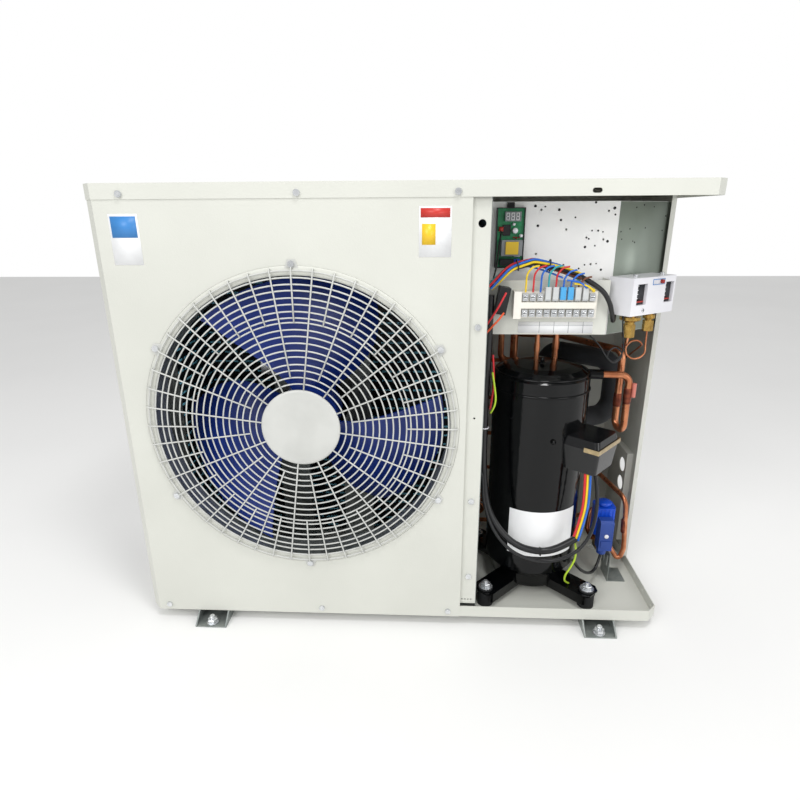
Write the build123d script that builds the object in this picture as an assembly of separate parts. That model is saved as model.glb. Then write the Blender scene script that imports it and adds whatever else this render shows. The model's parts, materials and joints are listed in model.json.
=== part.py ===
"""Air-cooled refrigeration condensing unit with its service cover off.

Frame: millimetres, +Z up, +X to the right seen from the front, +Y towards the back.
The origin is on the ground under the middle of the casing. The fan is on the left of
the casing, the compressor and the controls are in the service bay on the right.
"""
import math
import os

from build123d import *

# ---- driving dimensions of the casing ----
CASE_WIDTH = 950.0
CASE_DEPTH = 360.0
CASE_HEIGHT = 758.0
FOOT_HEIGHT = 20.0
SHEET = 1.2
CORNER = 17.0
FASCIA_HEIGHT = 23.0
PAN_LIP = 22.0
PAN_SHEET = 1.5

TOP = FOOT_HEIGHT + CASE_HEIGHT
PANEL_TOP = TOP - SHEET
PANEL_X = CASE_WIDTH / 2 - SHEET
FRONT = -CASE_DEPTH / 2
REAR = CASE_DEPTH / 2
PAN_FLOOR = FOOT_HEIGHT + PAN_SHEET
PAN_LIP_TOP = FOOT_HEIGHT + PAN_LIP

# ---- front panel and its landing for the service cover ----
PANEL_END_X = 112.0
STRIP_WIDTH = 28.0
STRIP_SET_BACK = 6.0
STRIP_Y = FRONT + STRIP_SET_BACK
PARTITION_X = PANEL_END_X + STRIP_WIDTH
SIDE_FRONT_Y = -4.0

# ---- fan and its guard ----
FAN_X = -161.0
FAN_Z = 396.0
ORIFICE_RADIUS = 252.0
BELLMOUTH_RADIUS = 247.0
BELLMOUTH_DEPTH = 46.0
GUARD_RADIUS = 256.0
GUARD_DISC_RADIUS = 66.0
GUARD_SPOKES = 48
GUARD_WIRE = 2.6
TAB_CIRCLE_RADIUS = 265.0
TAB_COUNT = 6
BLADE_COUNT = 3
BLADE_TIP_RADIUS = 238.0
BLADE_ROOT_RADIUS = 48.0
BLADE_PITCH = 21.0
BLADE_THICKNESS = 3.0
BLADE_CAMBER = 10.0
BLADE_ROOT_MIDDLE = 13.0
BLADE_SWEEP = 20.0
BLADE_ROOT_WIDTH = 70.0
BLADE_FLARE = 12.0
BLADE_ROOT_LEAD = 0.55
FAN_PLANE_Y = FRONT + 74.0
HUB_RADIUS = 54.0
SHAFT_RADIUS = 6.0
MOTOR_RADIUS = 62.0
MOTOR_LENGTH = 75.0
MOTOR_FRONT_Y = FAN_PLANE_Y + 48.0
MOTOR_BACK_Y = MOTOR_FRONT_Y + MOTOR_LENGTH
RUNNING_CLEARANCE = 0.05

# ---- condenser coil ----
COIL_THICKNESS = 44.0
COIL_Y = REAR - 18.0 - COIL_THICKNESS
COIL_LEFT_X = -CASE_WIDTH / 2 + 13.0
COIL_RIGHT_X = PARTITION_X + 17.0
COIL_SIDE_FRONT_Y = FRONT + 120.0
COIL_TOP = TOP - 10.0
TUBE_RADIUS = 4.76
TUBE_PITCH = 21.0

# ---- compressor ----
COMPRESSOR_X = PARTITION_X + 118.0
COMPRESSOR_Y = FRONT + 137.5
SHELL_RADIUS = 86.5
SHELL_SEAM_Z = 430.0
SHELL_TOP_Z = 473.0
BOLT_OFFSET = 95.25
BASE_TOP_Z = 54.0
BASE_SHEET = 3.0
BOLT_RADIUS = 4.0

# ---- refrigerant pipes ----
DISCHARGE_RADIUS = 6.35
SUCTION_RADIUS = 11.1
SUCTION_BORE = 10.0
SUCTION_BEND = 34.0
FOAM_RADIUS = 19.5
FOAM_CLEARANCE = 0.3
LIQUID_RADIUS = 4.76
LIQUID_BORE = 3.96
PIPE_STUB_Y = REAR + 20.0
DISCHARGE_Z = 454.0
SUCTION_Z = 351.0
SUCTION_EXIT = (300.0, 236.0)
LIQUID_EXIT = (338.0, 196.0)

# ---- control panel ----
CONTROL_HEIGHT = 219.5
PANEL_FACE_Y = FRONT + 112.0
WING_START_X = CASE_WIDTH / 2 - 116.5
WING_ANGLE = 34.0
CONTROL_TOP_Z = TOP - 28.0
CONTROL_BOTTOM_Z = CONTROL_TOP_Z - CONTROL_HEIGHT
TERMINAL_FACE_Y = PANEL_FACE_Y - 40.0
TERMINAL_PLATE_LOW_Z = CONTROL_BOTTOM_Z + 8.0
TERMINAL_PLATE_HEIGHT = 89.5

# ---- pressure control: its own frame is x along the face, y to the back, z up ----
PRESSURE_ORIGIN = (WING_START_X + 16.5, PANEL_FACE_Y - 57.0, CONTROL_BOTTOM_Z + 40.5)
PRESSURE_WIDTH = 110.0
PRESSURE_DEPTH = 47.0
PRESSURE_HEIGHT = 61.0
WINDOW_DEPTH = 6.0
WINDOWS = {"low_pressure": (12.0, 37.0), "high_pressure": (84.0, 106.0)}
WINDOW_Z = (17.0, 51.0)
SPINDLE_X = {"low_pressure": 25.0, "high_pressure": 95.0}
SPINDLE_Y = 17.0
SPINDLE_RADIUS = 4.0
POINTER_Z = 22.0
FITTING_X = {"low_pressure": 80.0, "high_pressure": 30.0}
FITTING_Y = 21.0
BUTTON_X = 74.0
BUTTON_Z = 52.5
BUTTON_RADIUS = 3.0


# ---- helpers ----
def box(low, high):
    """Solid box between two opposite corners."""
    size = [b - a for a, b in zip(low, high)]
    return Pos(*[(a + b) / 2 for a, b in zip(low, high)]) * Box(*size)


def rod(start, end, radius):
    """Round rod between two points."""
    line = Vector(*end) - Vector(*start)
    return Plane(origin=start, z_dir=line) * Cylinder(
        radius, line.length, align=(Align.CENTER, Align.CENTER, Align.MIN))


def along_y(x, z, y_low, y_high, radius):
    """Round rod along Y."""
    return rod((x, y_low, z), (x, y_high, z), radius)


def turned(profile, origin=(0, 0, 0)):
    """Solid turned about a vertical axis from (radius, height) points."""
    face = Plane.XZ * Polygon(*profile)
    return Pos(*origin) * revolve(face, Axis.Z)


def chamfered_plan(width, depth, corner, z_low, z_high):
    """Slab whose plan is a rectangle with its four corners cut at 45 degrees."""
    plan = Rectangle(width, depth)
    plan = chamfer(plan.vertices(), corner)
    return Pos(0, 0, z_low) * extrude(plan, z_high - z_low)


def inset_corner(corner, inset):
    """Size of a 45 degree corner cut after its outline moves inwards."""
    return corner - (2 - math.sqrt(2)) * inset


def folded_sheet(points, thickness, z_low, z_high):
    """Upright folded sheet: its outer side follows the points, metal lies to their left."""
    inner = []
    last = len(points) - 1
    for i, (x, y) in enumerate(points):
        turns = []
        for a, b in ((i - 1, i), (i, i + 1)):
            if a >= 0 and b <= last:
                dx, dy = points[b][0] - points[a][0], points[b][1] - points[a][1]
                length = math.hypot(dx, dy)
                turns.append((-dy / length, dx / length))
        n0, n1 = turns[0], turns[-1]
        scale = thickness / (1 + n0[0] * n1[0] + n0[1] * n1[1])
        if len(turns) == 1:
            scale = thickness / 2
        inner.append((x + scale * (n0[0] + n1[0]), y + scale * (n0[1] + n1[1])))
    outline = Polygon(*points, *reversed(inner))
    return Pos(0, 0, z_low) * extrude(outline, z_high - z_low, dir=(0, 0, 1))


def corner_radii(points, largest):
    """Bend radius at each inner point of a route, as large as its runs allow."""
    radii = []
    for before, here, after in zip(points, points[1:], points[2:]):
        run_in = Vector(*here) - Vector(*before)
        run_out = Vector(*after) - Vector(*here)
        half_turn = math.radians(run_in.get_angle(run_out)) / 2
        room = 0.45 * min(run_in.length, run_out.length) / math.tan(half_turn)
        radii.append(min(largest, room))
    return radii


def tube(points, radius, bend, bore=0.0):
    """Round tube along straight runs joined by tangent arcs."""
    path = FilletPolyline(*points, radius=corner_radii(points, bend))
    section = Circle(radius) - Circle(bore) if bore else Circle(radius)
    return sweep(Plane(origin=path @ 0, z_dir=path % 0) * section, path=path)


def around(centre_x, centre_z, radius, count, start=0.0):
    """Points on an upright circle, counted clockwise from the top seen from the front."""
    for i in range(count):
        angle = math.radians(start + 360 * i / count)
        yield centre_x + radius * math.sin(angle), centre_z + radius * math.cos(angle)


# ---- places used by more than one piece ----
FASCIA_SCREW_Z = TOP - 15.5
FASCIA_SCREWS = [(-CASE_WIDTH / 2 + 62, FASCIA_SCREW_Z), (FAN_X + 15, FASCIA_SCREW_Z),
                 (PANEL_END_X - 22, FASCIA_SCREW_Z)]
BOTTOM_SCREW_Z = FOOT_HEIGHT + 12.0
BOTTOM_SCREWS = [(-CASE_WIDTH / 2 + 39, BOTTOM_SCREW_Z), (FAN_X + 16, BOTTOM_SCREW_Z),
                 (PANEL_END_X - 22, BOTTOM_SCREW_Z)]
STRIP_SCREW_X = PANEL_END_X + 14.0
STRIP_SCREWS = [(STRIP_SCREW_X, FAN_Z + 167), (STRIP_SCREW_X, FAN_Z - 138), (STRIP_SCREW_X, FOOT_HEIGHT + 85)]
SCREW_HOLE_RADIUS = 2.1
TAB_SCREWS = list(around(FAN_X, FAN_Z, TAB_CIRCLE_RADIUS, TAB_COUNT))
RAIL_X = (-CASE_WIDTH / 2 + 123.0, CASE_WIDTH / 2 - 109.0)
RAIL_WIDTH = 58.0
RAIL_SHEET = 2.5
RAIL_OVERHANG = 24.0
RAIL_HOLE_RADIUS = 6.0
RAIL_HOLE_OVERHANG = 12.0
COMPRESSOR_BOLTS = [(COMPRESSOR_X + sx * BOLT_OFFSET, COMPRESSOR_Y + sy * BOLT_OFFSET)
                    for sx in (-1, 1) for sy in (-1, 1)]


# ---- casing ----
def base_pan():
    width, depth = 2 * (PANEL_X - SHEET), CASE_DEPTH - 2 * SHEET
    corner = inset_corner(CORNER, SHEET)
    pan = chamfered_plan(width, depth, corner, FOOT_HEIGHT, PAN_LIP_TOP)
    pan -= chamfered_plan(width - 2 * PAN_SHEET, depth - 2 * PAN_SHEET,
                          inset_corner(corner, PAN_SHEET), PAN_FLOOR, PAN_LIP_TOP + 1)
    for x, y in COMPRESSOR_BOLTS:
        pan -= rod((x, y, 0), (x, y, 60), BOLT_RADIUS + 0.2)
    for x in (-300, -60, 60, 420):
        pan -= rod((x, 60, 0), (x, 60, 60), 9)
    for x, z in BOTTOM_SCREWS:
        pan -= along_y(x, z, FRONT - 1, FRONT + 6, SCREW_HOLE_RADIUS)
    for y in (-150, -105, -60):
        pan -= rod((PANEL_X - 8, y, 33), (PANEL_X + 1, y, 33), 2)
    return pan


def foot_rail(x):
    half = RAIL_WIDTH / 2
    end = REAR + RAIL_OVERHANG
    rail = box((x - half, -end, 0), (x + half, end, FOOT_HEIGHT))
    rail -= box((x - half + RAIL_SHEET, -end - 1, RAIL_SHEET),
                (x + half - RAIL_SHEET, end + 1, FOOT_HEIGHT + 1))
    for side in (-1, 1):
        tip, root = side * (end + 1), side * REAR
        wedge = Plane.YZ * Polygon((tip, RAIL_SHEET), (root, FOOT_HEIGHT + 1), (tip, FOOT_HEIGHT + 1))
        rail -= Pos(x, 0, 0) * extrude(wedge, RAIL_WIDTH, both=True)
        hole_y = side * (REAR + RAIL_HOLE_OVERHANG)
        rail -= rod((x, hole_y, -1), (x, hole_y, RAIL_SHEET + 1), RAIL_HOLE_RADIUS)
    return rail


def front_panel():
    face = [(-PANEL_X, FRONT + 40), (-PANEL_X, FRONT + CORNER), (-PANEL_X + CORNER, FRONT),
            (PANEL_END_X, FRONT)]
    strip = [(PANEL_END_X, STRIP_Y), (PARTITION_X, STRIP_Y), (PARTITION_X, STRIP_Y + 20)]
    panel = folded_sheet(face, SHEET, FOOT_HEIGHT, PAN_LIP_TOP + 4)
    panel += folded_sheet(face + strip, SHEET, PAN_LIP_TOP + 4, PANEL_TOP)
    panel -= along_y(FAN_X, FAN_Z, FRONT - 1, FRONT + 3, ORIFICE_RADIUS)
    for x, z in FASCIA_SCREWS + BOTTOM_SCREWS + TAB_SCREWS:
        panel -= along_y(x, z, FRONT - 1, FRONT + 3, SCREW_HOLE_RADIUS)
    for x, z in STRIP_SCREWS:
        panel -= along_y(x, z, STRIP_Y - 1, STRIP_Y + 3, SCREW_HOLE_RADIUS)
    panel -= along_y(STRIP_SCREW_X, FAN_Z + 15, STRIP_Y - 1, STRIP_Y + 3, 1.8)
    panel -= along_y(STRIP_SCREW_X + 1, TOP - 60, STRIP_Y - 1, STRIP_Y + 3, 6)
    for i in range(4):
        panel -= along_y(PANEL_END_X + 4 + 5.5 * i, FOOT_HEIGHT + 34.5, STRIP_Y - 1, STRIP_Y + 3, 1.4)
    return panel


def left_side_panel():
    outline = [(-PANEL_X + 36, REAR), (-PANEL_X + CORNER, REAR), (-PANEL_X, REAR - CORNER),
               (-PANEL_X, FRONT + 40)]
    panel = folded_sheet(outline, SHEET, FOOT_HEIGHT, PANEL_TOP)
    panel -= box((-PANEL_X - 1, COIL_SIDE_FRONT_Y + 8, FOOT_HEIGHT + 50), (-PANEL_X + 3, REAR - 34, TOP - 48))
    return panel


def right_side_panel():
    flange = [(PANEL_X - 8, SIDE_FRONT_Y)]
    flat = [(PANEL_X, SIDE_FRONT_Y), (PANEL_X, REAR - CORNER), (PANEL_X - CORNER, REAR),
            (PANEL_X - 34, REAR)]
    panel = folded_sheet(flat, SHEET, FOOT_HEIGHT, PAN_LIP_TOP)
    panel += folded_sheet(flange + flat, SHEET, PAN_LIP_TOP, PANEL_TOP)
    depth, low, high = 12.0, (30.0, 60.0), (100.0, 262.0)
    panel += box((PANEL_X - depth - SHEET, *low), (PANEL_X, *high))
    panel -= box((PANEL_X - depth, low[0] + SHEET, low[1] + SHEET),
                 (PANEL_X + 1, high[0] - SHEET, high[1] - SHEET))
    for z in (187, 229):
        panel -= rod((PANEL_X - depth - 5, 52, z), (PANEL_X + 1, 52, z), 15)
    return panel


def rear_panel():
    flat = [(PANEL_X - 34, REAR), (COIL_RIGHT_X + SHEET, REAR)]
    flange = [(COIL_RIGHT_X + SHEET, COIL_Y + COIL_THICKNESS)]
    panel = folded_sheet(flat, SHEET, FOOT_HEIGHT, PAN_LIP_TOP)
    panel += folded_sheet(flat + flange, SHEET, PAN_LIP_TOP, PANEL_TOP)
    panel -= along_y(*SUCTION_EXIT, REAR - 3, REAR + 1, SUCTION_RADIUS + 1.5)
    panel -= along_y(*LIQUID_EXIT, REAR - 3, REAR + 1, LIQUID_RADIUS + 1.5)
    return panel


def top_cover():
    depth = CASE_DEPTH + 2 * SHEET
    low = TOP - FASCIA_HEIGHT
    corner = CORNER + (2 - math.sqrt(2)) * SHEET
    cover = chamfered_plan(CASE_WIDTH, depth, corner, low, TOP)
    cover -= chamfered_plan(2 * PANEL_X, CASE_DEPTH, CORNER, low - 1, PANEL_TOP)
    for x, z in FASCIA_SCREWS:
        cover -= along_y(x, z, FRONT - 3, FRONT + 1, SCREW_HOLE_RADIUS)
    slot = Pos(COMPRESSOR_X + 30, FRONT + 1, FASCIA_SCREW_Z) * Rot(90, 0, 0) * extrude(SlotOverall(14, 7), 4)
    return cover - slot


def partition_panel():
    return box((PARTITION_X, STRIP_Y + SHEET, PAN_FLOOR), (PARTITION_X + SHEET, COIL_Y - 6, PANEL_TOP))


def panel_screws():
    """Pan-head screws of the fascia, the front panel, its landing strip and the fan guard."""
    groups = [(FASCIA_SCREWS, FRONT - SHEET), (BOTTOM_SCREWS, FRONT), (STRIP_SCREWS, STRIP_Y),
              (TAB_SCREWS, FRONT - 1.6)]
    screws = []
    for places, face_y in groups:
        for x, z in places:
            screws.append(along_y(x, z, face_y - 3, face_y, 5) + along_y(x, z, face_y - 1, face_y + 8, 2))
    return screws


# ---- fan bay ----
def fan_bellmouth():
    r, back = BELLMOUTH_RADIUS, BELLMOUTH_DEPTH
    profile = [(r, SHEET), (r, back), (r + SHEET, back), (r + SHEET, 2 * SHEET),
               (r + 11, 2 * SHEET), (r + 11, SHEET)]
    ring = revolve(Plane.XY * Polygon(*profile), Axis.Y)
    return Pos(FAN_X, FRONT, FAN_Z) * ring


def guard_ring(radius):
    """One wire ring of the guard, square in section."""
    w = GUARD_WIRE
    ring = Circle(radius + w / 2) - Circle(radius - w / 2)
    return Pos(FAN_X, FRONT - 4, FAN_Z) * Rot(90, 0, 0) * extrude(ring, w)


def grille():
    guard = Pos(FAN_X, FRONT - 6, FAN_Z) * Rot(90, 0, 0) * extrude(Circle(GUARD_DISC_RADIUS), 4)
    for radius in (86.0, 108.0, 131.0, 154.0, 176.0, 193.0, 214.0, 235.0, GUARD_RADIUS):
        guard += guard_ring(radius)
    for i in range(GUARD_SPOKES):
        inner = (176.0, 86.0, 176.0, GUARD_DISC_RADIUS - 4)[i % 4]
        angle = 360 * i / GUARD_SPOKES - 15
        spoke = box((-GUARD_WIRE / 2, FRONT - 9.2, inner), (GUARD_WIRE / 2, FRONT - 6.5, GUARD_RADIUS + 1))
        guard += Pos(FAN_X, 0, FAN_Z) * Rot(0, angle, 0) * spoke
    for i in range(TAB_COUNT):
        tab = box((-9, FRONT - 1.6, GUARD_RADIUS - 1), (9, FRONT, TAB_CIRCLE_RADIUS + 7))
        tab += box((-9, FRONT - 6.8, GUARD_RADIUS - 1), (9, FRONT, GUARD_RADIUS + 1))
        tab -= along_y(0, TAB_CIRCLE_RADIUS, FRONT - 3, FRONT + 1, SCREW_HOLE_RADIUS)
        guard += Pos(FAN_X, 0, FAN_Z) * Rot(0, 360 * i / TAB_COUNT, 0) * tab
    return guard


def coil_guard():
    """Wire guard over the coil at the back, standing on the pan's rear lip."""
    wire = 3.0
    y = REAR - SHEET - wire
    left, right = -PANEL_X + 24, COIL_RIGHT_X + SHEET
    rows, columns = 12, 8
    guard = None
    for i in range(rows):
        z = PAN_LIP_TOP + 20 + (PANEL_TOP - PAN_LIP_TOP - 40) * i / (rows - 1)
        bar = box((left, y - wire, z), (right, y, z + wire))
        guard = bar if guard is None else guard + bar
    for i in range(columns):
        x = left + 2 + (right - left - 4 - wire) * i / (columns - 1)
        guard += box((x, y, PAN_LIP_TOP), (x + wire, y + wire, PANEL_TOP))
    return guard


def condenser_fins():
    back = box((COIL_LEFT_X, COIL_Y, PAN_FLOOR), (COIL_RIGHT_X, COIL_Y + COIL_THICKNESS, COIL_TOP))
    side = box((COIL_LEFT_X, COIL_SIDE_FRONT_Y, PAN_FLOOR),
               (COIL_LEFT_X + COIL_THICKNESS, COIL_Y, COIL_TOP))
    return back + side


def tube_plates():
    right = box((COIL_RIGHT_X, COIL_Y - 6, PAN_FLOOR),
                (COIL_RIGHT_X + SHEET, COIL_Y + COIL_THICKNESS, COIL_TOP + 6))
    left = box((COIL_LEFT_X - 2, COIL_SIDE_FRONT_Y - SHEET, PAN_FLOOR),
               (COIL_LEFT_X + COIL_THICKNESS + 2, COIL_SIDE_FRONT_Y, COIL_TOP + 6))
    return [right, left]


def return_bends():
    """U-bends that join the front row's tubes in pairs at the coil's right end."""
    face_x = COIL_RIGHT_X + SHEET
    y = COIL_Y + TUBE_PITCH / 2
    bends = []
    for i in range(16):
        z = 66 + 2 * TUBE_PITCH * i
        outer = z + TUBE_PITCH
        path = FilletPolyline((face_x, y, z), (face_x + 22, y, z), (face_x + 22, y, outer),
                              (face_x, y, outer), radius=TUBE_PITCH / 2 - 0.1)
        bends.append(sweep(Plane(origin=path @ 0, z_dir=path % 0) * Circle(TUBE_RADIUS), path=path))
    return bends


def gas_header():
    """Upright hot gas header with its feeders, and the liquid collector beside it."""
    x, y = COIL_RIGHT_X + 75, COIL_Y + 11
    header = rod((x, y, 84), (x, y, 560), 8)
    for i in range(5):
        z = 97.5 + 2 * TUBE_PITCH * 2 * i
        header += rod((COIL_RIGHT_X + SHEET, y, z), (x, y, z), 4)
    route = [(COIL_RIGHT_X + SHEET, COIL_Y - 1, 640), (x - 29, COIL_Y - 1, 640), (x - 29, COIL_Y - 1, 440),
             (x - 4, COIL_Y - 6, 436), (x + 40, COIL_Y - 19, 436)]
    collector = tube(route, 6.35, 14)
    return [header, collector]


def motor_bracket():
    """Two upright channels with a cross plate that carries the fan motor."""
    back = MOTOR_BACK_Y + 3
    pieces = None
    for side in (-1, 1):
        outer, inner = FAN_X + side * 96, FAN_X + side * 36
        left, right = sorted((outer, inner))
        points = [(left, back + 20), (left, back), (right, back), (right, back + 20)]
        rail = folded_sheet(points, 2, PAN_FLOOR, PANEL_TOP)
        pieces = rail if pieces is None else pieces + rail
    plate = box((FAN_X - 96, MOTOR_BACK_Y, FAN_Z - 75), (FAN_X + 96, MOTOR_BACK_Y + 3, FAN_Z + 75))
    return pieces + plate


def fan_motor():
    body = along_y(FAN_X, FAN_Z, MOTOR_FRONT_Y, MOTOR_BACK_Y, MOTOR_RADIUS)
    body += along_y(FAN_X, FAN_Z, MOTOR_FRONT_Y - 6, MOTOR_FRONT_Y, 20)
    bore_radius = SHAFT_RADIUS + RUNNING_CLEARANCE
    return body - along_y(FAN_X, FAN_Z, MOTOR_FRONT_Y - 7, MOTOR_BACK_Y - 12, bore_radius)


def motor_shaft():
    return along_y(FAN_X, FAN_Z, -146, MOTOR_BACK_Y - 14, SHAFT_RADIUS)


def blade_point(radius, across):
    """Point of a blade's middle surface; across runs from 0 at its leading edge to 1.

    The blade is a helicoid with a little camber, swept forward towards its tip.
    """
    out = max(0.0, (radius - BLADE_ROOT_RADIUS) / (BLADE_TIP_RADIUS - BLADE_ROOT_RADIUS))
    middle = BLADE_ROOT_MIDDLE - BLADE_SWEEP * out ** 1.5
    width = BLADE_ROOT_WIDTH + BLADE_FLARE * math.sin(math.pi * min(out, 1))
    turn = math.radians(width * (across - 0.5))
    tip_lead = BLADE_TIP_RADIUS * math.tan(math.radians(BLADE_PITCH))
    lead = tip_lead * (BLADE_ROOT_LEAD + (1 - BLADE_ROOT_LEAD) * out)
    camber = BLADE_CAMBER * (1 - (2 * across - 1) ** 2)
    angle = math.radians(middle) + turn
    return (radius * math.sin(angle), lead * turn - camber, radius * math.cos(angle))


def fan_blade():
    """One twisted blade, thickened from its middle surface and cut round at its tip."""
    rows = []
    for i in range(7):
        radius = BLADE_ROOT_RADIUS - 6 + (BLADE_TIP_RADIUS + 18 - BLADE_ROOT_RADIUS) * i / 6
        rows.append([Vector(*blade_point(radius, j / 8)) for j in range(9)])
    sheet = Face.make_surface_from_array_of_points(rows)
    blade = Solid.thicken(sheet, BLADE_THICKNESS)
    return blade & along_y(0, 0, -80, 80, BLADE_TIP_RADIUS)


def fan_rotor():
    rotor = along_y(0, 0, -28, 30, HUB_RADIUS)
    blade = fan_blade()
    for i in range(BLADE_COUNT):
        rotor += Rot(0, 360 * i / BLADE_COUNT, 0) * blade
    rotor -= along_y(0, 0, -40, 40, SHAFT_RADIUS)
    return Pos(FAN_X, FAN_PLANE_Y, FAN_Z) * rotor


def fan_nut():
    face = FAN_PLANE_Y - 28
    nut = Pos(FAN_X, face, FAN_Z) * Rot(90, 0, 0) * extrude(RegularPolygon(9, 6), 8)
    return nut - along_y(FAN_X, FAN_Z, face - 20, face + 1, SHAFT_RADIUS)


# ---- compressor ----
AT_COMPRESSOR = Pos(COMPRESSOR_X, COMPRESSOR_Y, 0)
SHELL_CUTTER = AT_COMPRESSOR * Cylinder(SHELL_RADIUS, 900)


def compressor_shell():
    r = SHELL_RADIUS
    profile = [(0, 42), (60, 42), (72, 50), (74, 66), (r, 80), (r, SHELL_SEAM_Z), (0, SHELL_SEAM_Z)]
    return turned(profile, (COMPRESSOR_X, COMPRESSOR_Y, 0))


def compressor_cap():
    """Upper cup of the shell, with its rolled rims and the discharge stub."""
    r = SHELL_RADIUS
    seam, rim, top = SHELL_SEAM_Z, 458.0, SHELL_TOP_Z
    profile = [(0, seam), (r, seam), (r, rim - 3), (r - 3, rim), (r - 5, rim + 3), (r - 16, rim + 10),
               (r - 36, top - 2), (0, top)]
    cap = turned(profile, (COMPRESSOR_X, COMPRESSOR_Y, 0))
    stub = rod((0, 0, DISCHARGE_Z), (SHELL_RADIUS + 22, 0, DISCHARGE_Z), 9)
    stub -= rod((SHELL_RADIUS + 6, 0, DISCHARGE_Z), (SHELL_RADIUS + 30, 0, DISCHARGE_Z), DISCHARGE_RADIUS)
    stub = AT_COMPRESSOR * Rot(0, 0, -5) * stub
    return cap + (stub - SHELL_CUTTER)


def compressor_base():
    """Cross-shaped foot: two folded arms over each other, cut square at their ends."""
    base = rod((0, 0, BASE_TOP_Z - 14), (0, 0, BASE_TOP_Z), 70)
    for angle in (45, 135):
        arm = box((-150, -23, BASE_TOP_Z - 19), (150, 23, BASE_TOP_Z))
        arm -= box((-151, -20, BASE_TOP_Z - 20), (151, 20, BASE_TOP_Z - BASE_SHEET))
        base += Rot(0, 0, angle) * arm
    reach = BOLT_OFFSET + 20
    base &= box((-reach, -reach, 0), (reach, reach, 100))
    base = AT_COMPRESSOR * base - compressor_shell()
    for x, y in COMPRESSOR_BOLTS:
        base -= rod((x, y, BASE_TOP_Z - BASE_SHEET - 1), (x, y, 80), 10)
    return base


def compressor_grommets():
    sheet_low = BASE_TOP_Z - BASE_SHEET
    profile = [(BOLT_RADIUS, PAN_FLOOR), (15, PAN_FLOOR), (15, sheet_low), (10, sheet_low),
               (10, BASE_TOP_Z), (14, BASE_TOP_Z), (14, BASE_TOP_Z + 3), (BOLT_RADIUS, BASE_TOP_Z + 3)]
    return [turned(profile, (x, y, 0)) for x, y in COMPRESSOR_BOLTS]


def compressor_bolts():
    washer = BASE_TOP_Z + 3
    bolts = []
    for x, y in COMPRESSOR_BOLTS:
        bolt = rod((x, y, washer), (x, y, washer + 1.6), 12.5)
        bolt += Pos(x, y, washer + 1.6) * extrude(RegularPolygon(7.5, 6), 6)
        bolt += rod((x, y, FOOT_HEIGHT - 7), (x, y, washer), BOLT_RADIUS)
        bolt += Pos(x, y, FOOT_HEIGHT - 6.5) * extrude(RegularPolygon(7.5, 6), 6.5)
        bolts.append(bolt)
    return bolts


AT_TERMINAL_BOX = AT_COMPRESSOR * Rot(0, 0, -41)
BOX_FRONT = 141.0
BOX_HALF_WIDTH = 42.0
BOX_BOTTOM_Z = 301.0
BOX_SPLIT_Z = 347.0
BOX_TOP_Z = 363.0


def tapered_block(low, high, z_low, z_high, shrink):
    """Block with rounded upright edges, its far face smaller by the shrink on each side."""
    size = (high[0] - low[0], high[1] - low[1])
    centre = ((low[0] + high[0]) / 2, (low[1] + high[1]) / 2)
    near = Pos(*centre, z_low) * RectangleRounded(*size, 8)
    far = Pos(*centre, z_high) * RectangleRounded(size[0] - 2 * shrink, size[1] - 2 * shrink, 8)
    return loft([near, far])


def terminal_box_base():
    block = tapered_block((70, -BOX_HALF_WIDTH), (BOX_FRONT, BOX_HALF_WIDTH), BOX_SPLIT_Z, BOX_BOTTOM_Z, 5)
    return AT_TERMINAL_BOX * block - SHELL_CUTTER


def terminal_box_cover():
    block = tapered_block((70, -BOX_HALF_WIDTH), (BOX_FRONT, BOX_HALF_WIDTH), BOX_SPLIT_Z, BOX_TOP_Z, 4)
    return AT_TERMINAL_BOX * block - SHELL_CUTTER


def terminal_box_strap():
    """Spring strap that clasps the terminal box round its front corner."""
    half, front = BOX_HALF_WIDTH, BOX_FRONT
    low, high = BOX_SPLIT_Z - 4, BOX_SPLIT_Z + 4
    strap = box((front - 26, -half - 1.2, low), (front + 1.2, half + 1.2, high))
    strap -= box((front - 30, -half, low - 1), (front, half, high + 1))
    return AT_TERMINAL_BOX * strap


# ---- refrigerant pipes ----
def discharge_route():
    angle = math.radians(-5)
    start = SHELL_RADIUS + 6
    start_x, start_y = COMPRESSOR_X + start * math.cos(angle), COMPRESSOR_Y + start * math.sin(angle)
    return [(start_x, start_y, DISCHARGE_Z),
            (413, -56, DISCHARGE_Z), (413, -56, 345), (407.5, -23, 345), (407.5, -23, 491), (322, 116, 491),
            (COIL_RIGHT_X + 82.5, COIL_Y + 11, 491)]


def suction_route(start, end_y):
    angle = math.radians(25.06)
    x, z = SUCTION_EXIT
    start_x, start_y = COMPRESSOR_X + start * math.cos(angle), COMPRESSOR_Y + start * math.sin(angle)
    back_y = COIL_Y + 7
    return [(start_x, start_y, SUCTION_Z), (413, 30, SUCTION_Z), (413, 30, 460), (x, back_y, 460),
            (x, back_y, z), (x, end_y, z)]


def suction_pipe():
    route = suction_route(SHELL_RADIUS - 3, PIPE_STUB_Y)
    return tube(route, SUCTION_RADIUS, SUCTION_BEND, SUCTION_BORE) - SHELL_CUTTER


def suction_insulation():
    """Black foam over the suction line, from the shell to just inside the rear panel."""
    route = suction_route(SHELL_RADIUS + 8, PIPE_STUB_Y)
    foam = tube(route, FOAM_RADIUS, SUCTION_BEND, SUCTION_RADIUS + FOAM_CLEARANCE)
    return foam - box((0, REAR - 8, 0), (PANEL_X, REAR + 60, TOP))


def liquid_outlet_route():
    x, z = LIQUID_EXIT
    return [(415, -38, 98), (442, -43, 56), (450, -42, 84), (443.5, -38, 194), (417, 60, 203), (x, 118, z),
            (x, PIPE_STUB_Y, z)]


def liquid_inlet_route():
    return [(COIL_RIGHT_X + SHEET, COIL_Y + 11, 45), (250, 129, 45), (380, 129, 52), (432, 90, 100),
            (438, 22, 148), (392, 10, 146), (384, -4, 104), (392, -24, 96)]


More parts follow.
